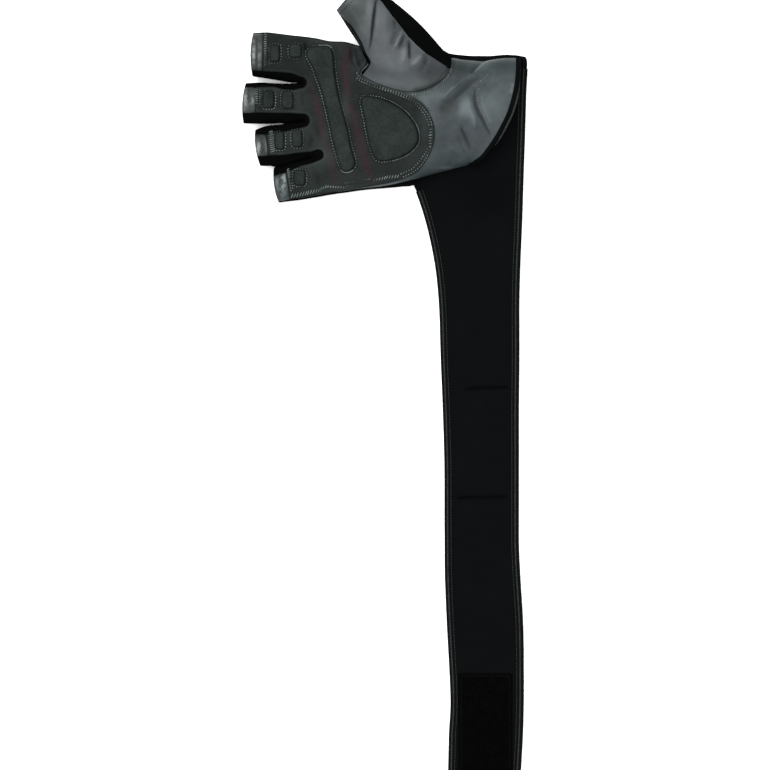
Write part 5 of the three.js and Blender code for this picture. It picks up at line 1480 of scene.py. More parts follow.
def thumb_point(u, phi):
    at = np.stack(thumb_rings(phi))
    i = np.clip(np.floor(u).astype(int), 0, LAST - 1)
    f = (u - i)[:, None]
    k = np.arange(len(u))
    a, b, c, d = at[np.maximum(i - 1, 0), k], at[i, k], at[i + 1, k], at[np.minimum(i + 2, LAST), k]
    m1 = np.where((i == 0)[:, None], c - b, (c - a) * 0.5)
    m2 = np.where((i + 2 > LAST)[:, None], c - b, (d - b) * 0.5)
    f2, f3 = f * f, f * f * f
    return b * (2 * f3 - 3 * f2 + 1) + m1 * (f3 - 2 * f2 + f) + c * (3 * f2 - 2 * f3) + m2 * (f3 - f2)


def seam_angle(degrees):
    return lambda u: np.radians(np.interp(u, np.linspace(0, LAST, len(degrees)), degrees))


right_seam, left_seam = seam_angle(SEAM_RIGHT), seam_angle(SEAM_LEFT)
parting = 0.018
crotch_parting = lambda u: lerp(0.1, parting, smooth(u / 2))


def thumb_patch(start, end, nu, ns, leather):
    u, s = np.meshgrid(np.linspace(0, LAST, nu), np.linspace(0, 1, ns), indexing="ij")
    u, s = u.ravel(), s.ravel()
    at = lambda u, s: thumb_point(u, lerp(start(u), end(u), s))
    p, e = at(u, s), 0.01
    du = at(np.minimum(LAST, u + e), s) - at(np.maximum(0, u - e), s)
    ds = at(u, np.minimum(1, s + e)) - at(u, np.maximum(0, s - e))
    n = np.cross(du, ds)
    n /= np.maximum(np.linalg.norm(n, axis=1), 1e-9)[:, None]
    # distances to the seams and the open end along the surface
    arc = np.linalg.norm(at(u, np.ones(len(u))) - p, axis=1)
    arc0 = np.linalg.norm(at(u, np.zeros(len(u))) - p, axis=1)
    end_d = np.linalg.norm(at(np.full(len(u), float(LAST)), s) - p, axis=1)
    edge = np.minimum(arc, arc0)
    wall = lerp(0.7, THUMB_WALL, smooth(np.hypot(p[:, 0] + 11, p[:, 1] - 203) / 14))
    free = smooth(u / 0.7)
    fold = folds(p[:, :2], THUMB_FOLDS) * smooth((n[:, 2] - 0.05) / 0.4) * free
    if leather:
        lift = fold + (0.35 * noise(p, 11, 91) + 0.14 * noise(p, 5, 92)) * free
        lift = lift - 0.4 * np.exp(-edge / 0.7) + 0.3 * smooth((5.2 - end_d) / 1.0)
        thick = wall + 0.4 * smooth((5.2 - end_d) / 1.0)
    else:
        lift = 0.3 * noise(p[:, [0, 2]], 11, 93) * free - 0.3 * np.exp(-edge / 0.6)
        thick = wall + 0.3 * smooth((4.2 - end_d) / 1.0)
        lift = lift + 0.2 * smooth((4.2 - end_d) / 1.0)
    blunt = np.exp(-((end_d / 0.5) ** 2))
    lift, thick = lift - 0.45 * blunt, thick - 0.8 * blunt
    # near the root the stall takes up the palm's own folds
    near_root = 1 - smooth(u / 1.0)
    p = p.copy()
    if not leather:
        lift = lift + 0.9 * np.exp(-(((p[:, :2] - px(447, 56)) / [3.6, 3.6]) ** 2).sum(1)) * smooth(u / 0.15 + 0.25)
    p[:, 2] += near_root * np.clip(Palm(p[:, :2]).u, -0.8, 0.8) * (n[:, 2] > -0.2)
    a = (np.arange(nu * ns).reshape(nu, ns))[:-1, :-1].ravel()
    T = np.concatenate([np.stack([a, a + ns + 1, a + 1], 1), np.stack([a, a + ns, a + ns + 1], 1)])
    return dict(p=p, n=n, lift=lift, thick=thick, T=T, u=u, s=s, fold=fold, edge=edge, end=end_d, shape=(nu, ns))


tl = thumb_patch(lambda u: right_seam(u) + parting, lambda u: left_seam(u) - crotch_parting(u), 120, 96, True)
V, F, _ = closed_wall(tl["p"] + tl["n"] * tl["lift"][:, None], tl["p"] + tl["n"] * (tl["lift"] - tl["thick"])[:, None], tl["T"])
q = tl["p"][:, :2]
# painted highlights and shade on the thumb's leather: x, y, reach across, reach along, amount
THUMB_SHADING = [
    (404, 56, 5, 8, 0.2), (416, 61, 5, 4, 0.3), (383, 26, 7, 24, 0.32), (369, 6, 3, 10, 0.45), (365, 22, 4, 11, 0.15), (352, 3, 8, 4, 0.4), (390, 60, 16, 10, 0.15),
    (355, 18, 9, 13, -0.4), (370, 72, 8, 8, -0.2), (396, 26, 5, 10, -0.15), (432, 73, 14, 9, -0.6), (446, 68, 5, 5, -0.3), (383, 82, 18, 6, 0.4), (404, 85, 20, 6, 0.3), (418, 80, 12, 7, 0.12), (362, 12, 5, 12, -0.12),
]
# painted shading from the folds and lines, darker along the seams, paler overall, with random tone
leather_shading = 0.4 * tl["fold"] + 0.14 * noise(q, 12, 95) - 0.16 * np.exp(-tl["edge"] / 0.8) + 0.2 + glow(q, THUMB_SHADING) + folds(q, THUMB_HIGHLIGHT_SHADE, 0.16) * smooth((tl["n"][:, 2] - 0.05) / 0.4)
# painted shade round the open end's rim
leather_shading = leather_shading - 0.9 * np.exp(-((tl["end"] / 0.8) ** 2))
leather_shading = np.where(leather_shading > 0.9, 0.9 + 0.35 * (leather_shading - 0.9), leather_shading)
thumb_leather = piece(make("thumb_leather_shell", V, F, THUMB_LEATHER_M, attributes={"shading_tone": np.concatenate([leather_shading, leather_shading])}), "smooth_leather", "thumb_leather")
tb = thumb_patch(lambda u: left_seam(u) + crotch_parting(u), lambda u: right_seam(u) - parting + 2 * math.pi, 90, 96, False)
V, F, _ = closed_wall(tb["p"] + tb["n"] * tb["lift"][:, None], tb["p"] + tb["n"] * (tb["lift"] - tb["thick"])[:, None], tb["T"])
# the edge that folds round from the leather is paler, between two darker lines
fold_d = np.linalg.norm(thumb_point(tb["u"], left_seam(tb["u"]) + crotch_parting(tb["u"])) - tb["p"], axis=1)
worn = np.exp(-(((fold_d - 1.7) / 0.85) ** 2)) * smooth((tb["u"] - 0.8) / 1.2) * (0.9 + 0.2 * noise(tb["p"], 3, 94))
thumb_back = piece(make("thumb_back_knit", V, F, KNIT_M, attributes={"worn": np.concatenate([worn, worn])}), "stretch_fabric", "thumb_back")

# ---------------------------------------------------------------- wrist edge
edge_path = even(spline(WRIST_EDGE, 8), 1.2)
ef = Palm(edge_path)
edge3 = ef.at(np.zeros(len(edge_path)))
edge3[:, 2] = np.maximum(edge3[:, 2], 4.7)
k = np.ones(5) / 5
for c in (2,):
    z = np.concatenate([[edge3[0, c]] * 2, edge3[:, c], [edge3[-1, c]] * 2])
    edge3[:, c] = np.convolve(z, k, "valid")
C_PROFILE = np.array([(-1.2, 0.42), (-0.7, 0.66), (0.0, 0.72), (0.8, 0.6), (1.4, 0.15), (1.65, -0.5), (1.65, -1.3), (1.2, -2.1), (0.4, -2.4), (-1.2, -2.35), (-3, -2.2), (-3.1, -1.9), (-2.9, -1.65), (0.2, -1.65), (0.35, -0.8), (0.25, 0.12), (-1.1, 0.12), (-1.3, 0.25)])
V, F = sweep(edge3, (0, 0, 1), C_PROFILE * [-1, 1])
wrist_edge = piece(make("wrist_edge_binding", V, F, TAPE_M), "edge_tape", "wrist_edge")

# ---------------------------------------------------------------- wrist wrap
W = np.array(WRAP_STATIONS)
seam_side = spline(WRAP_SEAM, 8)
seam_side[:, 0] += 0.25 - 0.6 * smooth((134 - seam_side[:, 1]) / 3)
right_side = spline([(x, y) for x, y in WRAP_TOP[5:]] + [(r[2], r[0]) for r in WRAP_STATIONS], 6)
left_side = spline([(r[1], r[0]) for r in WRAP_STATIONS], 6)
wrap_outline = np.vstack([seam_side, [(x, y) for x, y in WRAP_TOP[:5]], right_side, left_side[::-1][:-1]])
WSTEP = 1.35
wnet = split(grid((16, -266), (96, 215), WSTEP), lambda P: to_polygon(wrap_outline, P), keep=1, h=WSTEP)
CREASES = [
    ([(462, 389.5), (474, 388.3), (486, 387.9), (498, 387.6), (512, 386.6)], -0.6, 1.0, 0.9), ([(462, 391.5), (486, 390.5), (512, 389.5)], 0.3, 1.2, 1.4),
    ([(452, 498.5), (466, 497.3), (480, 497.2), (495, 497), (512, 496.5)], -0.6, 1.0, 0.9), ([(455, 500), (480, 499.6), (510, 499)], 0.3, 1.2, 1.4),
    ([(426, 214), (440, 220), (458, 224)], 0.35, 3.0, 3.0), ([(505, 250), (498, 262), (494, 276)], 0.3, 4.0, 4.0),
    ([(452, 300), (470, 306), (490, 304)], -0.25, 3.0, 3.0), ([(458, 560), (478, 566), (500, 563)], 0.25, 4.0, 4.0),
    ([(430, 190), (450, 196), (475, 193)], -0.3, 3.5, 3.5), ([(486, 170), (500, 182), (512, 188)], 0.3, 4.0, 4.0),
]
dist = np.maximum(to_polygon(wrap_outline, wnet.P), 0)
wz = folds(wnet.P, CREASES) + 0.12 * noise(wnet.P, 30, 101) + 0.05 * noise(wnet.P, 9, 102)
edge_soft = smooth(dist / 3)
zt = 1.95 + np.clip(wz, -0.55, 0.5) * edge_soft
zb = np.full(len(zt), 0.34) + 0.0 * zt
V, F, _ = closed_wall(np.column_stack([wnet.P, zt]), np.column_stack([wnet.P, zb]), wnet.T)
# painted shade along the two deepest creases, and a broad darker patch where the wrap leaves the hand
crease_shade_and_patch = np.clip(-(folds(wnet.P, CREASES[:1], 0.14) + folds(wnet.P, CREASES[2:3], 0.14)) / 0.85 + glow(wnet.P, [(485, 192, 45, 26, 0.25)]), 0, 0.85)
wrap = piece(make("wrist_wrap_webbing", V, F, WEB_M, attributes={"crease": np.concatenate([crease_shade_and_patch, crease_shade_and_patch])}), "elastic", "wrist_wrap")

end_y, end_l, end_r = W[-1, 0], W[-1, 1], W[-1, 2]


def corner(a, b, c, r=3.0, n=6):
    a, b, c = map(np.array, (a, b, c))
    p = b + (a - b) / np.linalg.norm(a - b) * r
    q = b + (c - b) / np.linalg.norm(c - b) * r
    t = np.linspace(0, 1, n)[:, None]
    return (1 - t) ** 2 * p + 2 * t * (1 - t) * b + t ** 2 * q


L = left_side[left_side[:, 1] < 122]
L = np.vstack([[np.interp(122, left_side[::-1, 1], left_side[::-1, 0]), 122], L])
Lc = L[L[:, 1] > end_y + 3.2]
Rr = right_side[(right_side[:, 1] > end_y + 3.2) & (right_side[:, 1] < 205)][::-1]
bind_path = np.vstack([Lc, corner(L[-2], (end_l, end_y), (end_r, end_y)), corner((end_l, end_y), (end_r, end_y), Rr[0]), Rr])
bind_path = even(bind_path, 1.1)
B_PROFILE = np.array([
    (-4.55, 2.12), (-4.35, 2.5), (-3.9, 2.62), (-3.45, 2.5), (-3.2, 2.22), (-2.95, 2.5), (-2.4, 2.74), (-1.2, 2.86), (-0.5, 2.76), (0.05, 2.45), (0.35, 1.9),
    (0.42, 1.2), (0.3, 0.5), (-0.1, 0.1), (-0.8, 0.0), (-4.3, 0.0), (-4.55, 0.12), (-4.45, 0.28), (-0.5, 0.3), (-0.12, 0.8), (-0.1, 1.5), (-0.4, 2.0), (-4.4, 2.02)])
# bind_path runs down the left edge, along the end and up the right edge: outwards is to its right
V, F = sweep(np.column_stack([bind_path, np.zeros(len(bind_path))]), (0, 0, 1), B_PROFILE)
binding = piece(make("wrap_binding_tape", V, F, WRAP_TAPE_M), "edge_tape", "wrap_binding")

# ---------------------------------------------------------------- hook patch
HP = dict(x0=47.9, x1=83.0, y0=-256.5, y1=-190.6)
patch_line = even(np.vstack([corner((HP["x0"], HP["y1"]), (HP["x0"], HP["y0"]), (HP["x1"], HP["y0"]), 1.6), corner((HP["x0"], HP["y0"]), (HP["x1"], HP["y0"]), (HP["x1"], HP["y1"]), 1.6), corner((HP["x1"], HP["y0"]), (HP["x1"], HP["y1"]), (HP["x0"], HP["y1"]), 1.6), corner((HP["x1"], HP["y1"]), (HP["x0"], HP["y1"]), (HP["x0"], HP["y0"]), 1.6)]), 1.0, closed=True)
pn = split(grid((46, -258), (85, -189), 1.1), lambda P: to_polygon(patch_line, P), keep=1, h=1.1)
pd = np.maximum(to_polygon(patch_line, pn.P), 0)


def wrap_height(P):
    return 1.95 + np.clip(folds(P, CREASES) + 0.12 * noise(P, 30, 101) + 0.05 * noise(P, 9, 102), -0.55, 0.5)


pz = wrap_height(pn.P)
ptop = pz + 0.45 + 0.3 * np.sqrt(np.maximum(0, 1 - (1 - np.clip(pd / 0.8, 0, 1)) ** 2)) - 0.22 * np.exp(-(((pd - 1.9) / 0.5) ** 2))
V, F, _ = closed_wall(np.column_stack([pn.P, ptop]), np.column_stack([pn.P, pz + 0.12]), pn.T)
patch_base = piece(make("hook_patch_tape", V, F, HOOK_M), "hook", "hook_patch")
yy, xx = np.meshgrid(np.arange(HP["y0"] + 3.2, HP["y1"] - 2.8, 1.45), np.arange(HP["x0"] + 3.2, HP["x1"] - 2.8, 1.3), indexing="ij")
xx = xx + (np.arange(xx.shape[0]) % 2)[:, None] * 0.65
hp = np.column_stack([xx.ravel(), yy.ravel()]) + jitter(xx.size, 0.12, 7)
hp = hp[hp[:, 0] < HP["x1"] - 2.6]
hz = wrap_height(hp) + 0.72
lean = np.where(np.arange(len(hp)) % 2 == 0, 1.0, -1.0)
rings = [(0.0, -0.05, 0.17), (0.03, 0.32, 0.15), (0.16, 0.52, 0.15), (0.36, 0.56, 0.14), (0.5, 0.46, 0.1)]
HV, k5 = [], 5
ang = np.arange(k5) / k5 * 2 * math.pi
for x, z, r in rings:
    tilt = (x + 0.0) / 0.5
    cx = hp[:, 0, None] + lean[:, None] * (x + r * np.cos(ang)[None] * (1 - 0.7 * tilt))
    cy = hp[:, 1, None] + r * np.sin(ang)[None] + 0 * cx
    cz = hz[:, None] + z + r * np.cos(ang)[None] * 0.7 * tilt + 0 * cx
    HV.append(np.stack([cx, cy, cz], -1))
HV = np.stack(HV, 1)
nh, nr = HV.shape[0], HV.shape[1]
caps = np.stack([HV[:, 0].mean(1), HV[:, -1].mean(1)], 1)
HV = np.concatenate([HV.reshape(nh, -1, 3), caps], 1)
Fh = []
for i in range(nr - 1):
    for j in range(k5):
        p, q2 = i * k5 + j, i * k5 + (j + 1) % k5
        Fh += [(p, q2, q2 + k5), (p, q2 + k5, p + k5)]
for j in range(k5):
    Fh += [(nr * k5, (j + 1) % k5, j), (nr * k5 + 1, (nr - 1) * k5 + j, (nr - 1) * k5 + (j + 1) % k5)]
Fh = np.array(Fh)
TH = (Fh[None] + (np.arange(nh) * HV.shape[1])[:, None, None])
TH[lean < 0] = TH[lean < 0][:, :, ::-1]
piece(make("hook_patch_hooks", HV.reshape(-1, 3), TH.reshape(-1, 3), HOOK_M), "hook", "hook_patch")

# ---------------------------------------------------------------- stitching
def seat(P, level):
    """Points and normals for plan points on the palm at a layer's height."""
    f = Palm(P)
    lift = {"suede": lambda: suede_top(f), "leather": lambda: leather_lift(f)}[level]()
    return f.at(lift), f.n


def lay(bundle, A, B, level, **kw):
    a, na = seat(A, level)
    b, nb = seat(B, level)
    bundle.add(*threads(a, b, na, nb, **kw))


pale, grey, zig = Bundle(), Bundle(), Bundle()
# painted highlights and shade on the pale stitching, a map that also sets how thick each stitch is drawn
THREAD_SHINE = [
    (313, 70, 5, 12, 0.45), (321, 95, 6, 18, 0.5), (327, 118, 5, 10, 0.25), (333, 145, 6, 16, 0.5), (325, 47, 8, 3, 0.3), (338, 82, 3, 18, 0.1), (355, 155, 4, 12, 0.35), (343, 118, 3, 14, -0.2), (346, 172, 7, 3, 0.15),
    (363, 112, 4, 14, 0.45), (366, 126, 3, 8, 0.4), (371, 150, 5, 14, 0.3), (384, 162, 9, 3, 0.5), (380, 98.5, 8, 3, 0.35),
    (390, 92, 12, 6, 0.5), (404, 97.5, 8, 5, 0.4), (424, 114, 7, 7, 0.4), (357, 76, 4, 4, 0.5), (364, 83, 5, 4, 0.4), (431, 125, 3, 3, 0.4), (430, 137, 3, 9, 0.3), (427, 156, 5, 6, 0.4), (416, 166, 8, 7, 0.35),
    (294, 195, 12, 6, 0.3), (312, 192, 8, 5, 0.45), (332, 187, 11, 3, 0.6), (385, 177.5, 13, 4, 0.5), (405, 175, 6, 4, 0.4), (353, 183, 7, 4, -0.3), (366, 180, 5, 4, -0.3),
    (281, 52, 2.5, 9, 0.5), (274, 64, 6, 2, 0.2), (269, 54, 2, 8, -0.3), (288.5, 51, 2, 7, 0.5), (303, 52, 2, 8, -0.2), (266, 44, 3, 9, 0.4), (266, 61, 3, 6, -0.1),
    (276, 100, 2, 9, 0.6), (269, 110, 6, 2, 0.6), (262, 100, 2, 6, -0.25), (281.5, 97, 2, 5, 0.4), (287, 109, 8, 3, -0.2), (293, 100, 2, 8, -0.2), (257, 97, 3, 6, 0.4),
    (285.5, 141, 2, 9, 0.6), (278, 151, 6, 2, 0.3), (291.5, 140, 2, 6, 0.4), (298, 148, 6, 2, 0.5), (305, 140, 2, 7, -0.15), (271, 142, 4, 12, 0.25),
    (306, 178, 2, 6, 0.6), (299, 170, 6, 2, 0.25), (299, 187, 5, 2, 0.25), (292.5, 177, 2, 7, -0.2), (289, 174, 3, 6, 0.2), (415, 95, 5, 3, 0.4), (426, 94, 4, 3, 0.35),
]


def shine(P):
    return np.clip(0.36 + glow(P, THREAD_SHINE) + 0.24 * noise(P, 3.6, 55) + 0.12 * noise(P, 1.4, 56), 0, 1)


def sew(A, B, level="suede", thick=0.0, rise=0.26):
    """Stitches whose thickness follows the map of their painted highlights."""
    A, B = np.asarray(A, float), np.asarray(B, float)
    b = shine((A + B) / 2)
    lay(pale, A, B, level, radius=0.24 + 0.14 * b + thick, rise=rise)


def bars(table, pitch, level="suede", thick=0.0):
    """Evenly spaced bars between two lines given by their ends, in cells."""
    for a0, b0, a1, b1 in table:
        a0, b0, a1, b1 = (np.array(px(*q)) for q in (a0, b0, a1, b1))
        n = max(1, int(round(np.linalg.norm((a1 + b1 - a0 - b0) / 2) / pitch)))
        t = (np.arange(n + 1) / n)[:, None]
        sew(a0 + (a1 - a0) * t + jitter(n + 1, 0.1, n), b0 + (b1 - b0) * t + jitter(n + 1, 0.1, n + 1), level, thick)


def in_suede(P, least):
    """Moves plan points inwards to a least distance from the overlay's edge."""
    m = suede_margin(P)
    g = np.stack([suede_margin(P + e) - suede_margin(P - e) for e in np.eye(2) * 0.3], 1) / 0.6
    g /= np.maximum(np.linalg.norm(g, axis=1), 1e-6)[:, None]
    return P + g * np.maximum(least - m, 0)[:, None]


# round the pads: separate stitches, and one unbroken corded run on each large pad
for name, line in PADS.items():
    big = name in ("knuckle_pad", "heel_pad")
    A, B = run_pairs(line, 1.85 if big else 1.75, 0.26 if big else 0.3, closed=True)
    A, B = A + jitter(len(A), 0.16, 3), B + jitter(len(B), 0.16, 4)
    M = (A + B) / 2
    mx, my = M[:, 0] / 0.65 + 384.6, 379.75 - M[:, 1] / 0.65
    corded = {"knuckle_pad": (my > 170.5) | ((my < 49) & (mx > 319)), "heel_pad": (mx > 391.5)}.get(name, np.zeros(len(M), bool))
    sew(A[~corded], B[~corded])
    if corded.any():
        A2, B2 = run_pairs(line, 1.3, 0.96, closed=True)
        M = (A2 + B2) / 2
        mx, my = M[:, 0] / 0.65 + 384.6, 379.75 - M[:, 1] / 0.65
        run = {"knuckle_pad": (my > 170.5) | ((my < 49) & (mx > 319)), "heel_pad": (mx > 391.5)}[name]
        lay(pale, A2[run], B2[run], "suede", radius=0.3 if name == "heel_pad" else 0.42, rise=0.16)

# the double row along the overlay's upper and round edge
OUTER_ROW = [(356.8, 74), (358.5, 76.5), (361, 79.3), (364.5, 81), (368.5, 82.3), (373, 84.3), (378, 86), (382.5, 87.5), (387.3, 89.3), (391.3, 90.8), (395.3, 92.3), (399.5, 94), (403.3, 95.6), (407.5, 97.4), (411.5, 99.2), (415.2, 101.8), (418.3, 104.5), (420.6, 106.6), (422.7, 109), (424.7, 111.5), (426.7, 114), (428.5, 116.6), (429.7, 119.6), (430.8, 122.6), (431.6, 125.6), (431.8, 128)]
INNER_ROW = [(356.2, 78.4), (358, 80), (361.5, 82.5), (365.5, 84.4), (370.5, 86.5), (375, 88), (379, 89.5), (384, 91.1), (389.4, 92.6), (394.3, 94.5), (399.5, 96.5), (404.6, 98.6), (410, 101.3), (414.5, 104.6), (418.3, 108), (421.3, 111.5), (424.2, 115.5), (426.3, 119.3), (428, 123.4), (428.8, 127)]
LOWER_OUTER = [(430.6, 148.5), (429.5, 152), (427.5, 156), (424, 161.5), (419.5, 167), (414, 171.4), (408, 174.8), (401, 177.8)]
LOWER_INNER = [(428, 148.5), (426, 152.5), (423, 157), (419.5, 161.5), (415.5, 166), (411, 169.5), (405, 172.4), (400, 174.5)]
for k, row in enumerate((OUTER_ROW, INNER_ROW, LOWER_OUTER, LOWER_INNER)):
    line = even(spline([px(*q) for q in row], 6), 0.3)
    A, B = run_pairs(line, 1.8, 0.16, shift=0.5 * (k % 2))
    A, B = A + jitter(len(A), 0.1, 8 + k), B + jitter(len(B), 0.1, 18 + k)
    sew(in_suede(A, 0.45), in_suede(B, 0.45), thick=0.1)
bars([((429, 130.5), (432.2, 130), (428.3, 147.5), (431.4, 147))], 1.75, thick=0.03)
# bars along the overlay's lower edge
bars([
    ((291, 197.6), (293, 193.4), (305, 195.2), (307.2, 190.9)), ((307, 194.8), (309.2, 190.6), (318, 192.2), (319.8, 188.6)), ((320, 191.2), (321.8, 187.4), (325, 188.6), (326.4, 185.6)),
    ((327.4, 187.8), (328.6, 185.8), (343, 187.6), (344, 186)), ((373, 182), (374.6, 179), (384, 179.3), (385.6, 176.2)), ((386, 178.7), (387.8, 175.8), (397, 177.8), (398.6, 175)),
], 1.75, thick=-0.03)
for a, b in (((344.5, 182.8), (356, 181.2)), ((346, 185.6), (356, 184.2)), ((364, 179.6), (371, 178.6))):
    a, b = np.array(px(*a)), np.array(px(*b))
    A, B = run_pairs(np.array([a, b]), 2.3, 0.8)
    sew(A, B)

# rows across the fingers where the overlay meets the bare bands
bars([
    ((264.1, 37), (267.1, 36.7), (264.3, 52), (267.2, 51.6)), ((264, 54), (266.8, 52.6), (264.2, 66), (267, 64.4)), ((268.6, 51), (270.2, 50), (268.8, 65), (270.4, 64)),
    ((255.8, 91), (258, 91), (255.8, 104), (258, 104)), ((259.6, 92), (260.8, 92), (259.6, 106), (260.8, 106)),
    ((268.9, 133), (273.4, 131.8), (270.8, 152.6), (275.2, 151)), ((287.3, 171.2), (289.7, 169.6), (288.6, 179), (290.8, 177.4)),
], 1.33)
for row in ([(289.4, 181), (290.4, 186), (291.4, 192)], [(291.6, 181), (292.6, 186), (293.4, 190)]):
    A, B = run_pairs(even(spline([px(*q) for q in row], 6), 0.3), 1.6, 0.5)
    sew(A, B)
# a zigzag down each bare band
for a, b in (((257.0, 40), (257.5, 67)), ((248.6, 90), (249.2, 104)), ((261.4, 138), (263.2, 153)), ((280, 174), (281.8, 194))):
    a, b = np.array(px(*a)), np.array(px(*b))
    n = int(np.linalg.norm(b - a) / 1.3)
    t = np.linspace(0, 1, n)[:, None]
    off = np.where(np.arange(n) % 2 == 0, -0.8, 0.8)[:, None] * np.array([[1.0, 0.0]])
    z = a + (b - a) * t + off + jitter(n, 0.08, n)
    lay(zig, z[:-1], z[1:], "leather", radius=0.2, rise=0.12)

# the wrist seam, and the overcast seam under the thumb
seam_c = even(spline([px(*q) for q in [(491, 71), (488.5, 74), (486.5, 77.5), (482, 80.5), (479, 85), (478.4, 92), (478.4, 100), (478.8, 105), (481, 111.5), (484, 117.5), (487, 124.3), (489.8, 129.5), (492.4, 134), (494.6, 138)]], 8), 0.5)
A, B = run_pairs(seam_c, 1.9, 0.5)
lay(grey, A + jitter(len(A), 0.14, 21), B + jitter(len(B), 0.14, 22), "leather", radius=0.33, rise=0.2)
bars([((412.4, 96.2), (413.2, 93.8), (418, 96.8), (419.2, 94.4)), ((420.6, 95.9), (422.2, 93.5), (430, 93.2), (431, 91.2))], 1.8, "leather", -0.03)
cast = even(spline([px(*q) for q in [(432, 91.2), (436, 88.4), (440, 85.2), (444, 81.6), (447, 78.2), (449.6, 74), (450.8, 70)]], 8), 0.5)
A, B = bar_pairs(cast, 1.6, 0.7, 0.7, 0.3)
lay(grey, A + jitter(len(A), 0.15, 25), B + jitter(len(B), 0.15, 26), "leather", radius=0.27, rise=0.18)
V, T = pale.get()
# painted highlight on the pale stitching, from the same map
stitch_highlight = shine(V[:, :2])
piece(make("pale_stitching", V, T, THREAD_M, attributes={"bright": stitch_highlight}), "suede")
V, T = grey.get()
piece(make("leather_stitching", V, T, GREY_THREAD_M), "smooth_leather")
V, T = zig.get()
piece(make("band_zigzag_stitching", V, T, ZIG_THREAD_M), "smooth_leather")

# stitching of the thumb's hem and of the hook patch, and pale cords that stand in for the bindings' highlights
black = Bundle()
idx = np.arange(tl["shape"][0] * tl["shape"][1]).reshape(tl["shape"])
outer = tl["p"] + tl["n"] * tl["lift"][:, None]
rowi = int(np.argmin(np.abs(tl["end"].reshape(tl["shape"])[:, 48] - 4.0)))
ids = idx[rowi]
line3, norm3 = outer[ids], tl["n"][ids]
s3 = np.concatenate([[0], np.cumsum(np.linalg.norm(np.diff(line3, axis=0), axis=1))])
n3 = int((s3[-1] - 2) / 2.0)
st = 1 + np.arange(n3) * (s3[-1] - 2) / n3
pick3 = lambda M, t: np.stack([np.interp(t, s3, M[:, c]) for c in range(3)], 1)
black.add(*threads(pick3(line3, st), pick3(line3, st + 1.25), pick3(norm3, st), pick3(norm3, st + 1.25), radius=0.2, rise=0.2))


def flat_row(line, z, pitch=2.1, length=0.62, **kw):
    A, B = run_pairs(line, pitch, length)
    up = np.tile([0.0, 0, 1], (len(A), 1))
    black.add(*threads(np.column_stack([A, z(A)]), np.column_stack([B, z(B)]), up, up, **kw))


bs = np.linspace(0, 1, len(bind_path))
turn_at = np.argmin(bind_path[:, 1]) / len(bind_path)
half = smooth((bs - turn_at) / 0.02 + 0.5)
bt = np.gradient(bind_path, axis=0)
bt /= np.linalg.norm(bt, axis=1)[:, None]
bn = np.stack([-bt[:, 1], bt[:, 0]], 1)
# pale cords along the crests of the wrap's binding stand in for its highlights
main_line = even(bind_path + bn * lerp(1.7, 2.1, half)[:, None], 0.6)
second_line = even(bind_path + bn * lerp(3.95, 4.3, half)[:, None], 0.6)
A, B = run_pairs(main_line, 1.3, 0.93)
up = np.tile([0.0, 0, 1], (len(A), 1))
lines = Bundle()
lines.add(*threads(np.column_stack([A, np.full(len(A), 2.72)]), np.column_stack([B, np.full(len(B), 2.72)]), up, up, radius=0.52, rise=0.22, sink=0.3))
A, B = run_pairs(second_line, 1.9, 0.8)
up = np.tile([0.0, 0, 1], (len(A), 1))
lines.add(*threads(np.column_stack([A, np.full(len(A), 2.5)]), np.column_stack([B, np.full(len(B), 2.5)]), up, up, radius=0.25, rise=0.16))
outer_edge = even(edge_path, 0.6)
oe = np.gradient(edge_path, axis=0)
oe /= np.linalg.norm(oe, axis=1)[:, None]
out_n = np.stack([oe[:, 1], -oe[:, 0]], 1)
if (out_n[len(out_n) // 2] @ np.array([1.0, 0])) < 0:
    out_n = -out_n
# a pale cord outside the wrist's binding stands in for the highlight on its outer crest, thickest in the middle
cord3 = edge3 + np.column_stack([out_n * 2.1, np.full(len(edge3), -0.7)])
cs = np.concatenate([[0], np.cumsum(np.linalg.norm(np.diff(cord3, axis=0), axis=1))])
start_c, stop_c = (np.interp(-px(0, y)[1], -cord3[:, 1], cs) for y in (84, 147))
nc = int((stop_c - start_c) / 1.3)
c0 = start_c + np.arange(nc) * 1.3
pc = lambda t: np.stack([np.interp(t, cs, cord3[:, k]) for k in range(3)], 1)
upc = np.tile([0.35, -0.1, 0.93], (nc, 1))
along = (c0 - start_c) / (stop_c - start_c)
fade = smooth(along / 0.3) * smooth((1 - along) / 0.3)
lines.add(*threads(pc(c0), pc(c0 + 1.25), upc, upc, radius=0.16 + 0.6 * fade, rise=0.2, sink=0.2))
V, T = lines.get()
piece(make("binding_highlight_cords", V, T, HIGHLIGHT_CORD_M), "edge_tape")
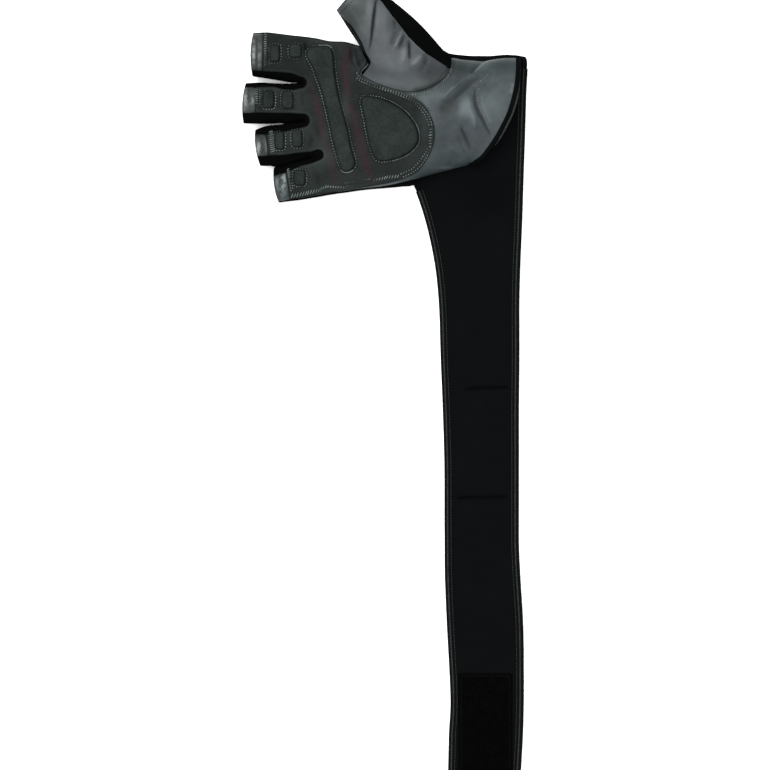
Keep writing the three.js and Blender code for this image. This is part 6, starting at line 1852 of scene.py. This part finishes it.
box = even(np.vstack([offset_line(patch_line, 1.9, closed=True)] + [offset_line(patch_line, 1.9, closed=True)[:1]]), 0.6)
flat_row(box, lambda P: wrap_height(P) + 0.55, 2.0, 0.62, radius=0.19, rise=0.2)
V, T = black.get()
piece(make("dark_stitching", V, T, DARK_THREAD_M), "edge_tape")

# ---------------------------------------------------------------- floor, light, camera
mesh = bpy.data.meshes.new("floor")
mesh.from_pydata([(-6, -6, -0.0002), (6, -6, -0.0002), (6, 6, -0.0002), (-6, 6, -0.0002)], [], [(0, 1, 2, 3)])
floor = bpy.data.objects.new("floor", mesh)
bpy.context.scene.collection.objects.link(floor)
fm = Shade("floor_paper", 0.9, 0.1)
mesh.materials.append(fm.done(fm.mix(fm.map(fm.noise(300, 2), 0.4, 0.6, 0, 1), (0.93, 0.935, 0.94), (0.95, 0.955, 0.96))))

world = bpy.data.worlds.new("studio")
bpy.context.scene.world = world
world.use_nodes = True
back = next(n for n in world.node_tree.nodes if n.type == "BACKGROUND")
back.inputs[0].default_value = (1, 1, 1, 1)
back.inputs[1].default_value = 0.95


def area_light(name, place, target, size, power, colour=(1, 1, 1)):
    light = bpy.data.lights.new(name, "AREA")
    light.shape, light.size, light.energy, light.color = "DISK", size, power, colour
    o = bpy.data.objects.new(name, light)
    o.location = place
    from mathutils import Vector
    o.rotation_euler = (Vector(target) - Vector(place)).to_track_quat("-Z", "Y").to_euler()
    o.visible_camera = False
    bpy.context.scene.collection.objects.link(o)
    return o


area_light("overhead", (-0.25, 0.35, 2.6), (0, 0.05, 0), 3.2, 125)
area_light("key", (-1.5, 1.6, 2.3), (0, 0.1, 0), 0.9, 42)

camera = bpy.data.objects.new("camera", bpy.data.cameras.new("camera"))
camera.data.lens, camera.data.sensor_width = 36 * 6.0 / 0.5005, 36
camera.data.clip_end = 30
camera.location = (0.00031, -0.00319, 6.0)
camera.rotation_euler = (0, 0, 0)
camera.data.dof.use_dof = False
bpy.context.scene.collection.objects.link(camera)
bpy.context.scene.camera = camera
bpy.context.scene.view_settings.view_transform = "Standard"

bpy.context.view_layer.update()
